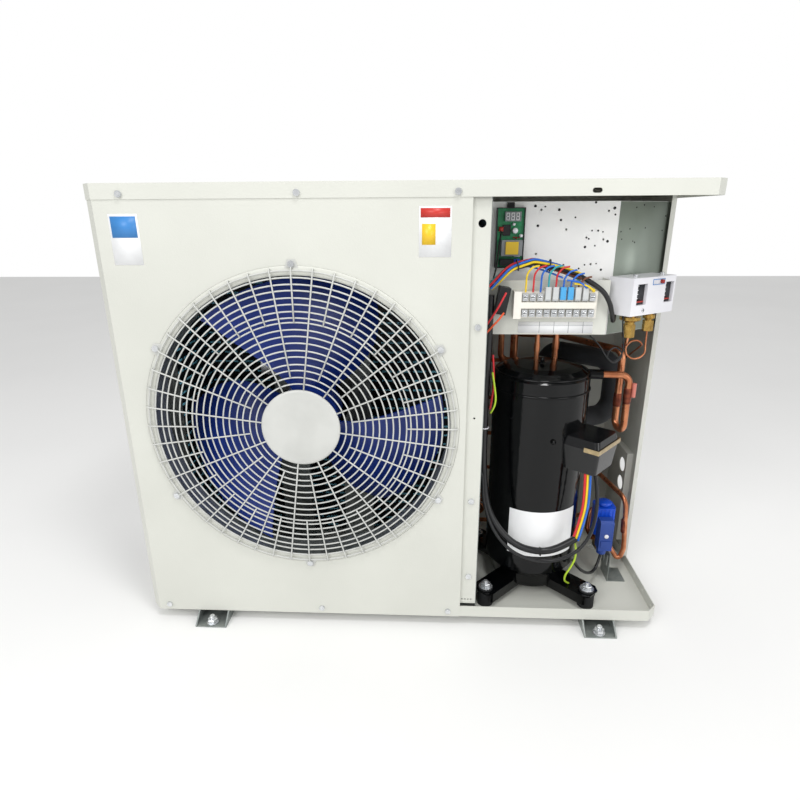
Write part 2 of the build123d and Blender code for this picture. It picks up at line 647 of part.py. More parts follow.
def process_tubes():
    """Two service stubs on top of the shell, their upper ends crimped shut."""
    tubes = []
    for x, y, z, radius in ((250, -22, SHELL_TOP_Z - 2, 4.5), (290, 4, SHELL_TOP_Z - 3, 5.5)):
        stub = rod((x, y, z), (x, y, 552), radius)
        stub += rod((x, y, z + 18), (x, y, z + 34), radius + 1)
        tubes.append(stub - compressor_cap())
    return tubes


def pressure_point(x, y, z=0.0):
    """Point of the pressure control's own frame, in the unit's frame."""
    angle = math.radians(WING_ANGLE)
    ox, oy, oz = PRESSURE_ORIGIN
    return (ox + x * math.cos(angle) - y * math.sin(angle),
            oy + x * math.sin(angle) + y * math.cos(angle), oz + z)


def wing_distance():
    """How far the control panel's wing lies behind the pressure control's face."""
    angle = math.radians(WING_ANGLE)
    ox, oy, _ = PRESSURE_ORIGIN
    return (PANEL_FACE_Y - oy) * math.cos(angle) - (WING_START_X - ox) * math.sin(angle)


def pressure_capillaries():
    """Hot gas tap to the high pressure bellows, and the looped low pressure capillary."""
    hx, hy, hz = pressure_point(FITTING_X["high_pressure"], FITTING_Y, -40)
    route = [(hx, hy, hz), (hx + 1, hy + 6, hz - 12), (400, -38, 506), (407.5, -23, 491 + DISCHARGE_RADIUS)]
    tap = tube(route, 2.4, 20)
    lx, ly, lz = pressure_point(FITTING_X["low_pressure"], FITTING_Y, -34)
    loop = [(lx, ly, lz)]
    radius, centre_x, centre_z = 17.0, lx - 14, lz - 36
    for i in range(9):
        angle = math.radians(60 + 45 * i)
        loop.append((centre_x + radius * math.sin(angle), ly + 1.5 * i, centre_z + radius * math.cos(angle)))
    loop.append((425, 10, 470))
    loop.append((418, 28, 440))
    return [tap, tube(loop, 1.5, 12)]


def temperature_sensor():
    return rod((421.7, -61.5, 414), (421.7, -61.5, 440), 3.6)


# ---- solenoid valve ----
COIL_BOX = ((385, -50, 118), (424, -12, 178))


def solenoid_body():
    body = box((393, -42, 84), (416, -18, 106))
    return body + rod((404, -31, 106), (404, -31, 118), 8)


def solenoid_coil():
    block = box(*COIL_BOX)
    edges = block.edges().filter_by(Axis.Z)
    return fillet(edges, 9)


def solenoid_connector():
    plug = box((388, -74, 98), (414, -50, 163))
    plug = chamfer(plug.edges().filter_by(Axis.X).group_by(Axis.Z)[-1], 4)
    return plug + rod((398, -62, 88), (398, -62, 98), 9)


def solenoid_bracket():
    """Folded bracket: foot on the pan, slotted upright and a ledge under the valve."""
    foot = box((416, -65, PAN_FLOOR), (452, -20, PAN_FLOOR + 1.5))
    upright = box((416, -65, PAN_FLOOR), (417.5, -20, 84))
    for y in (-53, -34):
        upright -= box((415, y - 2.5, 50), (419, y + 2.5, 74))
    ledge = box((392, -46, 82.5), (417.5, -20, 84))
    return foot + upright + ledge


def solenoid_cable():
    return tube([(398, -62, 88), (396, -64, 72), (380, -84, 52), (346, -112, 76), (322, -137, 118)], 3, 40)


# ---- control panel ----
def electrical_panel():
    rise = math.tan(math.radians(WING_ANGLE))
    end_x = PANEL_X - SHEET
    end_y = PANEL_FACE_Y + (end_x - WING_START_X) * rise
    left = PARTITION_X + SHEET
    outline = [(left, PANEL_FACE_Y + 25), (left, PANEL_FACE_Y), (WING_START_X, PANEL_FACE_Y), (end_x, end_y),
               (end_x, end_y + 20)]
    panel = folded_sheet(outline, SHEET, CONTROL_BOTTOM_Z, CONTROL_TOP_Z)
    for x, drop in ((92, 13), (135, 44), (201, 15), (197, 60), (180, 100), (169, 57), (88, 83)):
        panel -= along_y(PARTITION_X + x, CONTROL_TOP_Z - drop, PANEL_FACE_Y - 1, PANEL_FACE_Y + 3, 1.8)
    return panel


def terminal_plate():
    left, right = PARTITION_X + 3, 344.0
    outline = [(left, PANEL_FACE_Y), (left, TERMINAL_FACE_Y), (right, TERMINAL_FACE_Y), (right, PANEL_FACE_Y)]
    return folded_sheet(outline, SHEET, TERMINAL_PLATE_LOW_Z, TERMINAL_PLATE_LOW_Z + TERMINAL_PLATE_HEIGHT)


TERMINAL_PITCH = 11.9
TERMINAL_COUNT = 10
TERMINAL_LEFT = PARTITION_X + 59.0
TERMINAL_LOW_Z = TERMINAL_PLATE_LOW_Z + 29.5


def terminal_block():
    """Barrier block with a raised middle rib and an end cap."""
    back = TERMINAL_FACE_Y
    right = TERMINAL_LEFT + TERMINAL_PITCH * TERMINAL_COUNT
    low, high = TERMINAL_LOW_Z, TERMINAL_LOW_Z + 44
    block = box((TERMINAL_LEFT - 12, back - 12, low), (right + 4, back, high))
    block += box((TERMINAL_LEFT, back - 20, low + 17), (right, back - 12, low + 27))
    return block + box((TERMINAL_LEFT - 12, back - 20, low), (TERMINAL_LEFT, back - 12, high))


def terminal_clamps():
    clamps = []
    for row_z in (TERMINAL_LOW_Z + 3, TERMINAL_LOW_Z + 29):
        for i in range(TERMINAL_COUNT):
            x = TERMINAL_LEFT + TERMINAL_PITCH * i + 1.7
            clamps.append(box((x, TERMINAL_FACE_Y - 19, row_z), (x + 9, TERMINAL_FACE_Y - 12, row_z + 12)))
    return clamps


TRAY = ((PARTITION_X + 19, CONTROL_TOP_Z - 105), (PARTITION_X + 65, CONTROL_TOP_Z - 9))


def board_tray():
    (left, low), (right, high) = TRAY
    back = PANEL_FACE_Y
    tray = box((left, back - 13, low), (right, back, high))
    tray -= box((left + 1.5, back - 14, low + 1.5), (right - 1.5, back - 2, high - 1.5))
    return tray + box((left + 17, back - 3, high), (left + 29, back, high + 8))


def control_board():
    """Circuit board with its transformer, relay, display and capacitor."""
    (left, low), (right, high) = TRAY
    back = PANEL_FACE_Y
    board = box((left + 1.5, back - 8.6, low + 1.5), (right - 1.5, back - 7, high - 1.5))
    front = back - 8.6
    board += box((left + 8, front - 14, low + 21), (left + 41, front, low + 45))
    board += box((left + 7, front - 12, low + 5), (left + 29, front, low + 15))
    board += box((left + 13, front - 7, low + 75), (left + 38, front, low + 89))
    return board + along_y(left + 30, low + 60, front - 9, front, 4)


def fan_capacitor():
    case = box((-9, 0, -22), (9, 22, 22))
    return Pos(TERMINAL_LEFT - 30, TERMINAL_FACE_Y - 22, TERMINAL_LOW_Z + 29) * Rot(0, 10, 0) * case


# ---- wiring ----
def harness_bundle():
    """Main loom over the terminal block and the cable that leaves it for the pressure control."""
    loom = [(148, -119, 618), (180, -121, 650), (216, -121, 659), (258, -121, 648), (294, -120, 634)]
    cable = [(294, -120, 634), (326, -119, 618), (343, -119, 594), (352, -112, 568), (358, -99, 557),
             pressure_point(9, 38)]
    return [tube(loom, 8, 120), tube(cable, 4, 40)]


def lead_sleeve():
    """Sleeved compressor leads: round the shell's foot and up behind the landing strip."""
    route = [(320, -148, 172), (293, -147, 150), (258, -146, 140), (215, -147, 152), (180, -144, 184),
             (158, -133, 224), (150, -120, 290), (149.5, -114, 360), (149, -112, 430), (150, -116, 500),
             (149.5, -121, 545), (149.5, -121, 606)]
    return tube(route, 6.5, 300)


def compressor_leads():
    """Three insulated leads from the terminal box to the sleeve's mouth."""
    leads = []
    for i in range(3):
        shift = 4.6 * (i - 1)
        leads.append(tube([(329 + shift, -146, 304), (331 + shift, -149, 262), (329 + shift, -150, 218),
                           (320 + 0.9 * shift, -148, 172 - 0.9 * shift)], 2.2, 150))
    return leads


# ---- pressure control ----
AT_PRESSURE = Pos(*PRESSURE_ORIGIN) * Rot(0, 0, WING_ANGLE)


def pressure_case():
    w, d, h = PRESSURE_WIDTH, PRESSURE_DEPTH, PRESSURE_HEIGHT
    case = box((0, 0, 0), (w, d, h))
    for name, (left, right) in WINDOWS.items():
        case -= box((left, -1, WINDOW_Z[0]), (right, WINDOW_DEPTH, WINDOW_Z[1]))
        case -= rod((SPINDLE_X[name], SPINDLE_Y, h - 14), (SPINDLE_X[name], SPINDLE_Y, h + 1),
                    SPINDLE_RADIUS + RUNNING_CLEARANCE)
    case -= box((50, -1, 49), (79, 2, 56))
    case -= along_y(BUTTON_X, BUTTON_Z, 1, 14, BUTTON_RADIUS + RUNNING_CLEARANCE)
    case -= along_y(31, 8, -1, 3, 2.2)
    for x in (36, 92):
        case += along_y(x, 30, d, wing_distance(), 4)
    return AT_PRESSURE * case


def pressure_spindle(name):
    x, z = SPINDLE_X[name], PRESSURE_HEIGHT
    spindle = rod((x, SPINDLE_Y, z - 13), (x, SPINDLE_Y, z + 4), SPINDLE_RADIUS)
    spindle -= box((x - 5, SPINDLE_Y - 0.6, z + 2.5), (x + 5, SPINDLE_Y + 0.6, z + 5))
    return AT_PRESSURE * spindle


def pressure_pointer(name):
    left, right = WINDOWS[name]
    pointer = box((left + 3, WINDOW_DEPTH - 2.5, POINTER_Z - 1),
                  (right - 3, WINDOW_DEPTH - RUNNING_CLEARANCE, POINTER_Z + 1))
    return AT_PRESSURE * pointer


def reset_button():
    return AT_PRESSURE * along_y(BUTTON_X, BUTTON_Z, -2.5, 10, BUTTON_RADIUS)


def pressure_fittings():
    """Brass bellows housings and flare nuts under the pressure control."""
    high = [(0, 0), (9, 0), (9, -5), (17, -5), (17, -10), (8, -14), (8, -18), (0, -18)]
    low = [(0, 0), (7, 0), (7, -6), (10, -6), (10, -12), (6, -14), (6, -16), (0, -16)]
    pieces = []
    kinds = (("high_pressure", high, -18, -40, 10), ("low_pressure", low, -16, -34, 9))
    for name, profile, nut_top, nut_low, nut_radius in kinds:
        place = AT_PRESSURE * Pos(FITTING_X[name], FITTING_Y, 0)
        nut = extrude(RegularPolygon(nut_radius, 6), nut_top - nut_low)
        piece = turned(profile) + Pos(0, 0, nut_low) * nut
        pieces.append(place * piece)
    return pieces


# ---- export ----
def one_shape(pieces):
    """Several loose solids of one node as a single shape."""
    return Compound(children=pieces) if isinstance(pieces, list) else pieces


def all_nodes():
    return {
        "base_pan": base_pan(),
        "foot_rail_left": foot_rail(RAIL_X[0]),
        "foot_rail_right": foot_rail(RAIL_X[1]),
        "front_panel": front_panel(),
        "left_side_panel": left_side_panel(),
        "right_side_panel": right_side_panel(),
        "rear_panel": rear_panel(),
        "top_cover": top_cover(),
        "partition_panel": partition_panel(),
        "panel_screws": panel_screws(),
        "fan_bellmouth": fan_bellmouth(),
        "grille": grille(),
        "coil_guard": coil_guard(),
        "condenser_fins": condenser_fins(),
        "tube_plates": tube_plates(),
        "return_bends": return_bends(),
        "gas_header": gas_header(),
        "motor_bracket": motor_bracket(),
        "fan_motor": fan_motor(),
        "motor_shaft": motor_shaft(),
        "fan_rotor": fan_rotor(),
        "fan_nut": fan_nut(),
        "compressor_shell": compressor_shell(),
        "compressor_cap": compressor_cap(),
        "compressor_base": compressor_base(),
        "compressor_grommets": compressor_grommets(),
        "compressor_bolts": compressor_bolts(),
        "terminal_box_base": terminal_box_base(),
        "terminal_box_cover": terminal_box_cover(),
        "terminal_box_strap": terminal_box_strap(),
        "discharge_pipe": tube(discharge_route(), DISCHARGE_RADIUS, 16.4),
        "suction_pipe": suction_pipe(),
        "suction_insulation": suction_insulation(),
        "liquid_outlet_pipe": tube(liquid_outlet_route(), LIQUID_RADIUS, 22, LIQUID_BORE),
        "liquid_inlet_pipe": tube(liquid_inlet_route(), LIQUID_RADIUS, 18),
        "process_tubes": process_tubes(),
        "solenoid_body": solenoid_body(),
        "solenoid_coil": solenoid_coil(),
        "solenoid_connector": solenoid_connector(),
        "solenoid_bracket": solenoid_bracket(),
        "solenoid_cable": solenoid_cable(),
        "temperature_sensor": temperature_sensor(),
        "electrical_panel": electrical_panel(),
        "terminal_plate": terminal_plate(),
        "terminal_block": terminal_block(),
        "terminal_clamps": terminal_clamps(),
        "board_tray": board_tray(),
        "control_board": control_board(),
        "fan_capacitor": fan_capacitor(),
        "harness_bundle": harness_bundle(),
        "lead_sleeve": lead_sleeve(),
        "compressor_leads": compressor_leads(),
        "pressure_case": pressure_case(),
        "pressure_fittings": pressure_fittings(),
        "pressure_capillaries": pressure_capillaries(),
        "low_pressure_spindle": pressure_spindle("low_pressure"),
        "high_pressure_spindle": pressure_spindle("high_pressure"),
        "low_pressure_pointer": pressure_pointer("low_pressure"),
        "high_pressure_pointer": pressure_pointer("high_pressure"),
        "reset_button": reset_button(),
    }


def main():
    os.makedirs("parts", exist_ok=True)
    for name, pieces in all_nodes().items():
        export_step(one_shape(pieces), f"parts/{name}.step")


if __name__ == "__main__":
    main()
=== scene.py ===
"""Looks of an air-cooled refrigeration condensing unit with its service cover off.

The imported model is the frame: +X to the right, +Y to the back, +Z up, in metres, with the
origin on the ground under the middle of the casing. Sizes here are in millimetres and are
turned to metres where a mesh is made.
"""

import json
import logging
import math
from collections.abc import Sequence
from dataclasses import dataclass
from enum import Enum

import bmesh
import bpy
import numpy as np
from mathutils import Matrix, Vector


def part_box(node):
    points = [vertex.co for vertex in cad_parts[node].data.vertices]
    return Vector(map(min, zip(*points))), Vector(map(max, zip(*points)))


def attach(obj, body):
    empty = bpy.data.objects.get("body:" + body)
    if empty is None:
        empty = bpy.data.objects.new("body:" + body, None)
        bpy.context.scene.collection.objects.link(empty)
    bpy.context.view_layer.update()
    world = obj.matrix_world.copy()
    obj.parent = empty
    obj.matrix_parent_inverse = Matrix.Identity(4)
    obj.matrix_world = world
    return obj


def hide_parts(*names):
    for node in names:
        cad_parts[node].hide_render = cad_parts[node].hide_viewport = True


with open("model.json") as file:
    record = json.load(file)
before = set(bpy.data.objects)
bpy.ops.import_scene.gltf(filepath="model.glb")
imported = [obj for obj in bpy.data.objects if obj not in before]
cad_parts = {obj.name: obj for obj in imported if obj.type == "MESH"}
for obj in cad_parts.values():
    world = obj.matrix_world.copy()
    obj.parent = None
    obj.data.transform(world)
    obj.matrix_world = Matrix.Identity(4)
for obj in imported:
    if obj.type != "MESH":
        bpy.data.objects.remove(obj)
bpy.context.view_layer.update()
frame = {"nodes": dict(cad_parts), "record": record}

MM = 0.001
LOG = logging.getLogger("condensing_unit")
logging.basicConfig(level=logging.INFO, format="%(message)s")

Pair = tuple[float, float]
Point = tuple[float, float, float]
Box = tuple[Point, Point]
Shape = tuple[np.ndarray, np.ndarray]


# ---------------------------------------------------------------- materials
def linear(hex_colour: str) -> tuple[float, float, float, float]:
    """Turns an sRGB hex colour into the linear one that shaders take.

    Args:
        hex_colour: Six hex digits, with or without a leading hash.

    Returns:
        Linear red, green and blue, and an alpha of 1.
    """
    digits = hex_colour.lstrip("#")
    values = [int(digits[i:i + 2], 16) / 255 for i in (0, 2, 4)]
    linear_values = [v / 12.92 if v <= 0.04045 else ((v + 0.055) / 1.055) ** 2.4 for v in values]
    return (*linear_values, 1.0)


def add_node(tree: bpy.types.NodeTree, kind: str, settings: dict | None = None,
             inputs: dict | None = None) -> bpy.types.Node:
    """Adds a shader node with its settings, socket values and links.

    Args:
        tree: Node tree of the material or the world.
        kind: Blender's type name of the node.
        settings: Values of the node's own properties.
        inputs: For each input socket, a value or the output socket that feeds it.

    Returns:
        The new node.
    """
    node = tree.nodes.new(kind)
    for name, value in (settings or {}).items():
        setattr(node, name, value)
    for name, value in (inputs or {}).items():
        if isinstance(value, bpy.types.NodeSocket):
            tree.links.new(value, node.inputs[name])
        else:
            node.inputs[name].default_value = value
    return node


@dataclass(frozen=True)
class Finish:
    """One real material: its colour, gloss and the fine pattern that its making leaves.

    Attributes:
        name: Common name of the material and how its surface was made.
        colour: sRGB hex of the clean surface.
        shade: sRGB hex of the second tone that mottles it.
        metallic: 1 for bare metal, 0 for the rest.
        roughness: Mean roughness.
        spread: How far the roughness wanders from its mean.
        grain_mm: Size of the fine bumps.
        bump: Height of those bumps as a share of the grain.
        cloud_mm: Size of the slow colour changes.
        ior: Index of refraction of what isn't metal.
        sheen: Weight of a dusty edge sheen.
        wander_share: Size of the slow roughness changes as a share of the colour's.
    """

    name: str
    colour: str
    shade: str
    metallic: float = 0.0
    roughness: float = 0.5
    spread: float = 0.05
    grain_mm: float = 0.6
    bump: float = 0.2
    cloud_mm: float = 60.0
    ior: float = 1.5
    sheen: float = 0.0
    wander_share: float = 0.4

    def colour_socket(self, tree: bpy.types.NodeTree, place: bpy.types.NodeSocket) -> bpy.types.NodeSocket:
        """Mixes the two tones with slow noise.

        Args:
            tree: The material's nodes.
            place: Object coordinates.

        Returns:
            The colour output.
        """
        cloud = add_node(tree, "ShaderNodeTexNoise", {},
                         {"Vector": place, "Scale": 1000 / self.cloud_mm, "Detail": 4.0})
        ramp = add_node(tree, "ShaderNodeMapRange", {},
                        {"Value": cloud.outputs["Fac"], "From Min": 0.35, "From Max": 0.7})
        mix = add_node(tree, "ShaderNodeMix", {"data_type": "RGBA"}, {"Factor": ramp.outputs["Result"]})
        mix.inputs[6].default_value = linear(self.colour)
        mix.inputs[7].default_value = linear(self.shade)
        return mix.outputs[2]

    def bump_socket(self, tree: bpy.types.NodeTree, place: bpy.types.NodeSocket) -> bpy.types.NodeSocket:
        """Raises the fine grain as bumps.

        Args:
            tree: The material's nodes.
            place: Object coordinates.

        Returns:
            The bumped normal.
        """
        grain = add_node(tree, "ShaderNodeTexNoise", {},
                         {"Vector": place, "Scale": 1000 / self.grain_mm, "Detail": 2.0})
        bump = add_node(tree, "ShaderNodeBump", {},
                        {"Height": grain.outputs["Fac"], "Strength": self.bump,
                         "Distance": self.grain_mm * MM})
        return bump.outputs["Normal"]

    def material(self) -> bpy.types.Material:
        """Makes the material once and then hands out the same one.

        Returns:
            The material, with the colour, wandering roughness and grain of this finish.
        """
        made = bpy.data.materials.get(self.name)
        if made:
            return made
        made = bpy.data.materials.new(self.name)
        made.use_nodes = True
        tree = made.node_tree
        shader = tree.nodes["Principled BSDF"]
        place = add_node(tree, "ShaderNodeTexCoord").outputs["Object"]
        tree.links.new(self.colour_socket(tree, place), shader.inputs["Base Color"])
        wander = add_node(tree, "ShaderNodeTexNoise", {},
                          {"Vector": place, "Scale": 1000 / (self.cloud_mm * self.wander_share),
                           "Detail": 3.0})
        rough = add_node(tree, "ShaderNodeMapRange", {},
                         {"Value": wander.outputs["Fac"], "To Min": self.roughness - self.spread,
                          "To Max": self.roughness + self.spread})
        tree.links.new(rough.outputs["Result"], shader.inputs["Roughness"])
        tree.links.new(self.bump_socket(tree, place), shader.inputs["Normal"])
        shader.inputs["Metallic"].default_value = self.metallic
        shader.inputs["Sheen Weight"].default_value = self.sheen
        if not self.metallic:
            shader.inputs["IOR"].default_value = self.ior
        return made


@dataclass(frozen=True)
class FinnedCoil(Finish):
    """Coated aluminium fins: fine dark upright lines, with a painted light blue highlight at each row of
    tubes inside.

    Attributes:
        painted_glint: sRGB hex of the painted highlight on the tube collars, for the light they catch between
            the fins.
        fin_pitch_mm: Spacing of the fin lines.
        dash_mm: Length over which the painted highlight of one row shows and hides again.
        row_pitch_mm: Height from one tube row to the next.
        inside_y_mm: Only what lies in front of this Y has the painted highlight.
        inside_x_mm: Only what lies right of this X has it, so that both outer faces stay dark.
        fin_share: Share of the fins' pitch that has the second tone.
        dash_share: Share of a dash's length over which it shows.
        row_share: Half the height of a dash, as a share of the rows' pitch.
    """

    painted_glint: str = "#8FE6FF"
    fin_pitch_mm: float = 3.4
    dash_mm: float = 34.0
    row_pitch_mm: float = 21.0
    inside_y_mm: float = 118.4
    inside_x_mm: float = -461.0
    fin_share: float = 0.45
    dash_share: float = 0.8
    row_share: float = 0.1

    def colour_socket(self, tree: bpy.types.NodeTree, place: bpy.types.NodeSocket) -> bpy.types.NodeSocket:
        """Stripes across the fins, with dashes of painted highlight at the height of each row on the inner
        face.

        Both are read along X + Y, which runs on round the coil's bend, and the rows along Z.

        Args:
            tree: The material's nodes.
            place: Object coordinates.

        Returns:
            The colour output.
        """
        parts = add_node(tree, "ShaderNodeSeparateXYZ", {}, {"Vector": place})
        across = add_node(tree, "ShaderNodeMath", {"operation": "ADD"},
                          {0: parts.outputs["X"], 1: parts.outputs["Y"]})

        def share(socket: bpy.types.NodeSocket, pitch_mm: float) -> bpy.types.NodeSocket:
            """Place within one pitch, from 0 to 1."""
            scaled = add_node(tree, "ShaderNodeMath", {"operation": "MULTIPLY"},
                              {0: socket, 1: 1000 / pitch_mm})
            return add_node(tree, "ShaderNodeMath", {"operation": "FRACT"}, {0: scaled.outputs[0]}).outputs[0]

        fin = add_node(tree, "ShaderNodeMath", {"operation": "LESS_THAN"},
                       {0: share(across.outputs[0], self.fin_pitch_mm), 1: self.fin_share})
        row = add_node(tree, "ShaderNodeMath", {"operation": "COMPARE"},
                       {0: share(parts.outputs["Z"], self.row_pitch_mm), 1: 0.5, 2: self.row_share})
        dash = add_node(tree, "ShaderNodeMath", {"operation": "LESS_THAN"},
                        {0: share(across.outputs[0], self.dash_mm), 1: self.dash_share})
        inner = add_node(tree, "ShaderNodeMath", {"operation": "LESS_THAN"},
                         {0: parts.outputs["Y"], 1: self.inside_y_mm * MM})
        right = add_node(tree, "ShaderNodeMath", {"operation": "GREATER_THAN"},
                         {0: parts.outputs["X"], 1: self.inside_x_mm * MM})
        # Mask of the painted highlight: tube rows, within a dash, on the inner face and right of the outer
        # leg.
        painted_glint_mask = row
        for limit in (right, dash, inner):
            painted_glint_mask = add_node(tree, "ShaderNodeMath", {"operation": "MULTIPLY"},
                             {0: painted_glint_mask.outputs[0], 1: limit.outputs[0]})
        stripes = add_node(tree, "ShaderNodeMix", {"data_type": "RGBA"}, {"Factor": fin.outputs[0]})
        stripes.inputs[6].default_value = linear(self.colour)
        stripes.inputs[7].default_value = linear(self.shade)
        mix = add_node(tree, "ShaderNodeMix", {"data_type": "RGBA"}, {"Factor": painted_glint_mask.outputs[0]})
        tree.links.new(stripes.outputs[2], mix.inputs[6])
        mix.inputs[7].default_value = linear(self.painted_glint)
        return mix.outputs[2]


# Polyester powder coat, sprayed and baked: an even warm grey with a fine orange peel.
CASING_PAINT = Finish("casing_powder_coat", "#CFD0C8", "#C8C9C1", roughness=0.48, grain_mm=1.6, bump=0.12,
                      cloud_mm=220)
# Coil-coated white sheet inside the control box: smoother than the casing.
PANEL_WHITE = Finish("white_coated_sheet", "#FAFAF9", "#F5F5F4", roughness=0.4, grain_mm=2.0, bump=0.05)
# Hot-dip galvanised sheet: cloudy grey zinc with soft reflections.
GALVANISED = Finish("galvanised_sheet", "#9DA29F", "#868D8B", metallic=0.65, roughness=0.42, spread=0.1,
                    cloud_mm=14, grain_mm=2.5, bump=0.06)
# Polyester-coated guard wire: smooth off-white plastic film over steel.
GUARD_COAT = Finish("guard_wire_coating", "#C6C7C3", "#BBBCB8", roughness=0.36, grain_mm=1.2, bump=0.05)
# Bright zinc plate on fasteners: bluish metal, mottled with a duller grey.
ZINC = Finish("bright_zinc_plate", "#E0E2E4", "#C3C6C9", metallic=0.75, roughness=0.26, spread=0.05,
              cloud_mm=9, grain_mm=0.8, bump=0.03)
# Drawn copper tube: warm metal, darkened in clouds where the torch has been.
COPPER = Finish("drawn_copper_tube", "#DC976F", "#A35C3D", metallic=0.9, roughness=0.3, spread=0.1,
                cloud_mm=32, grain_mm=1.0, bump=0.06)
# Copper beside a brazed joint: dark red oxide with silver solder.
COPPER_BRAZED = Finish("brazed_copper", "#8E4B35", "#5C2F26", metallic=0.75, roughness=0.42, spread=0.1,
                       cloud_mm=9, grain_mm=0.8, bump=0.1)
# Machined brass: clean yellow metal with fine turning lines.
BRASS = Finish("machined_brass", "#C6A35A", "#A98542", metallic=0.92, roughness=0.28, cloud_mm=9,
               grain_mm=0.5, bump=0.08)
# Coated aluminium fins, nearly black in the depth, with a painted light blue highlight on the tube collars.
FINS = FinnedCoil("coated_aluminium_fins", "#0B0F12", "#242C31", roughness=0.45, grain_mm=1.0, bump=0.0)
# Glass-filled polypropylene blades: deep navy with a soft moulded gloss.
NAVY_PLASTIC = Finish("navy_moulded_blades", "#132F80", "#0E2568", roughness=0.3, cloud_mm=90, grain_mm=1.2,
                      bump=0.06)
# Stoved black enamel on the compressor: deep, wet gloss over a slightly wavy shell.
ENAMEL = Finish("black_stoved_enamel", "#040506", "#070809", roughness=0.11, spread=0.03, cloud_mm=50,
                grain_mm=9.0, bump=0.03, ior=1.36)
# Moulded black rubber, also used as painted shade in punched holes and screw slots.
RUBBER_AND_PAINTED_SHADE = Finish("black_rubber_and_painted_shade", "#17181A", "#202124", roughness=0.7, grain_mm=0.8, bump=0.15)
# Injection-moulded black plastic with a fine spark-eroded texture.
BLACK_PLASTIC = Finish("black_moulded_plastic", "#141517", "#1B1C1F", roughness=0.42, grain_mm=0.7, bump=0.15)
# Phenolic moulding of the compressor's terminal box: glossier than the small mouldings.
GLOSS_BLACK = Finish("gloss_black_moulding", "#0B0C0E", "#101113", roughness=0.22, spread=0.04, grain_mm=3.0,
                     bump=0.04)
# Closed-cell rubber foam: matt black with a soft skin.
FOAM = Finish("closed_cell_foam", "#15171A", "#1F2226", roughness=0.82, grain_mm=2.2, bump=0.35, sheen=0.1)
# Potted coil of the valve: bright blue thermoset.
COIL_BLUE = Finish("blue_potted_coil", "#0F4FD0", "#0C3FAE", roughness=0.32, grain_mm=1.0, bump=0.08)
# Cable plug of the valve: darker matt blue.
PLUG_BLUE = Finish("blue_cable_plug", "#26489A", "#1E3A80", roughness=0.45, grain_mm=0.8, bump=0.12)
# Ivory urea moulding of the terminal block.
IVORY = Finish("ivory_terminal_moulding", "#E6E3DA", "#DBD7CC", roughness=0.42, grain_mm=0.8, bump=0.08)
# Glass-epoxy board under green solder mask.
BOARD_GREEN = Finish("green_solder_mask", "#2A9A63", "#1E7C4E", roughness=0.3, cloud_mm=7, grain_mm=0.6,
                     bump=0.12)
# White moulded case of the pressure control.
CASE_WHITE = Finish("white_moulded_case", "#E6E6EA", "#DEDEE4", roughness=0.3, grain_mm=1.2, bump=0.05)
# Dark scale card behind the windows.
SCALE_CARD = Finish("dark_scale_card", "#23262B", "#31353B", roughness=0.4)
# Red plastic of pointers and buttons.
RED_PLASTIC = Finish("red_moulded_plastic", "#B4342B", "#97271F", roughness=0.4)
# Yellow polyester tape of the transformer's winding.
YELLOW_TAPE = Finish("yellow_winding_tape", "#E3C22E", "#CFA91F", roughness=0.38)
# Grey moulded relay and silicon-steel laminations.
GREY_PART = Finish("grey_moulded_part", "#8B8F92", "#74797C", roughness=0.45)
# Heat-shrink sleeve of the sensor.
SLEEVE_PINK = Finish("pink_heat_shrink", "#C9796B", "#B5655A", roughness=0.4)
# Vinyl label stock and its printed blocks of blue, red and yellow, without words.
LABEL_WHITE = Finish("white_label_vinyl", "#F0F1F2", "#EAEBEC", roughness=0.35)
LABEL_BLUE = Finish("blue_label_ink", "#3F86C9", "#3A7EC0", roughness=0.35)
LABEL_RED = Finish("red_label_ink", "#C8372F", "#BF322B", roughness=0.35)
LABEL_YELLOW = Finish("yellow_label_ink", "#EFC62C", "#E8BE25", roughness=0.35)
# The turned wing of the white electrical plate: the same sheet, painted grey-green for the shade it lies in
# as it turns away from the light.
SHADED_WING_PAINT = Finish("wing_painted_shade", "#9DA79D", "#939D93", metallic=0.25, roughness=0.4, cloud_mm=60,
                   grain_mm=2.0, bump=0.04)
# Spring steel of the strap, straw-coloured by its heat treatment.
STRAP_STEEL = Finish("straw_spring_steel", "#C2AE86", "#A08E6C", metallic=0.85, roughness=0.3, cloud_mm=8,
                     grain_mm=0.8, bump=0.05)
# Light blue vinyl of two terminal shrouds.
SKY_SHROUD = Finish("sky_blue_vinyl_shroud", "#4FA6DC", "#3F93CB", roughness=0.3)
# Clear vinyl shroud of a terminal, seen as a pale grey sleeve.
CLEAR_SHROUD = Finish("clear_vinyl_shroud", "#C9CBCB", "#B7BABA", roughness=0.2)


# Floor of the studio: pale matt paint.
FLOOR_PAINT = Finish("studio_floor_paint", "#F2F2F1", "#EFEFEE", roughness=0.6, grain_mm=4.0, bump=0.0,
                     cloud_mm=900)


class WireColour(Enum):
    """Colours of the PVC insulation, as sRGB hex."""

    RED = "#C8242B"
    YELLOW = "#E8C81F"
    BLUE = "#1F63C4"
    TEAL = "#2E9FA8"
    BROWN = "#6B3B22"
    BLACK = "#121315"
    ORANGE = "#E0572B"
    EARTH = "#B3D235"

    def finish(self) -> Finish:
        """PVC insulation of this colour: smooth, with a soft highlight."""
        return Finish(f"pvc_{self.name.lower()}", self.value, self.value, roughness=0.34, grain_mm=1.5,
                      bump=0.03)


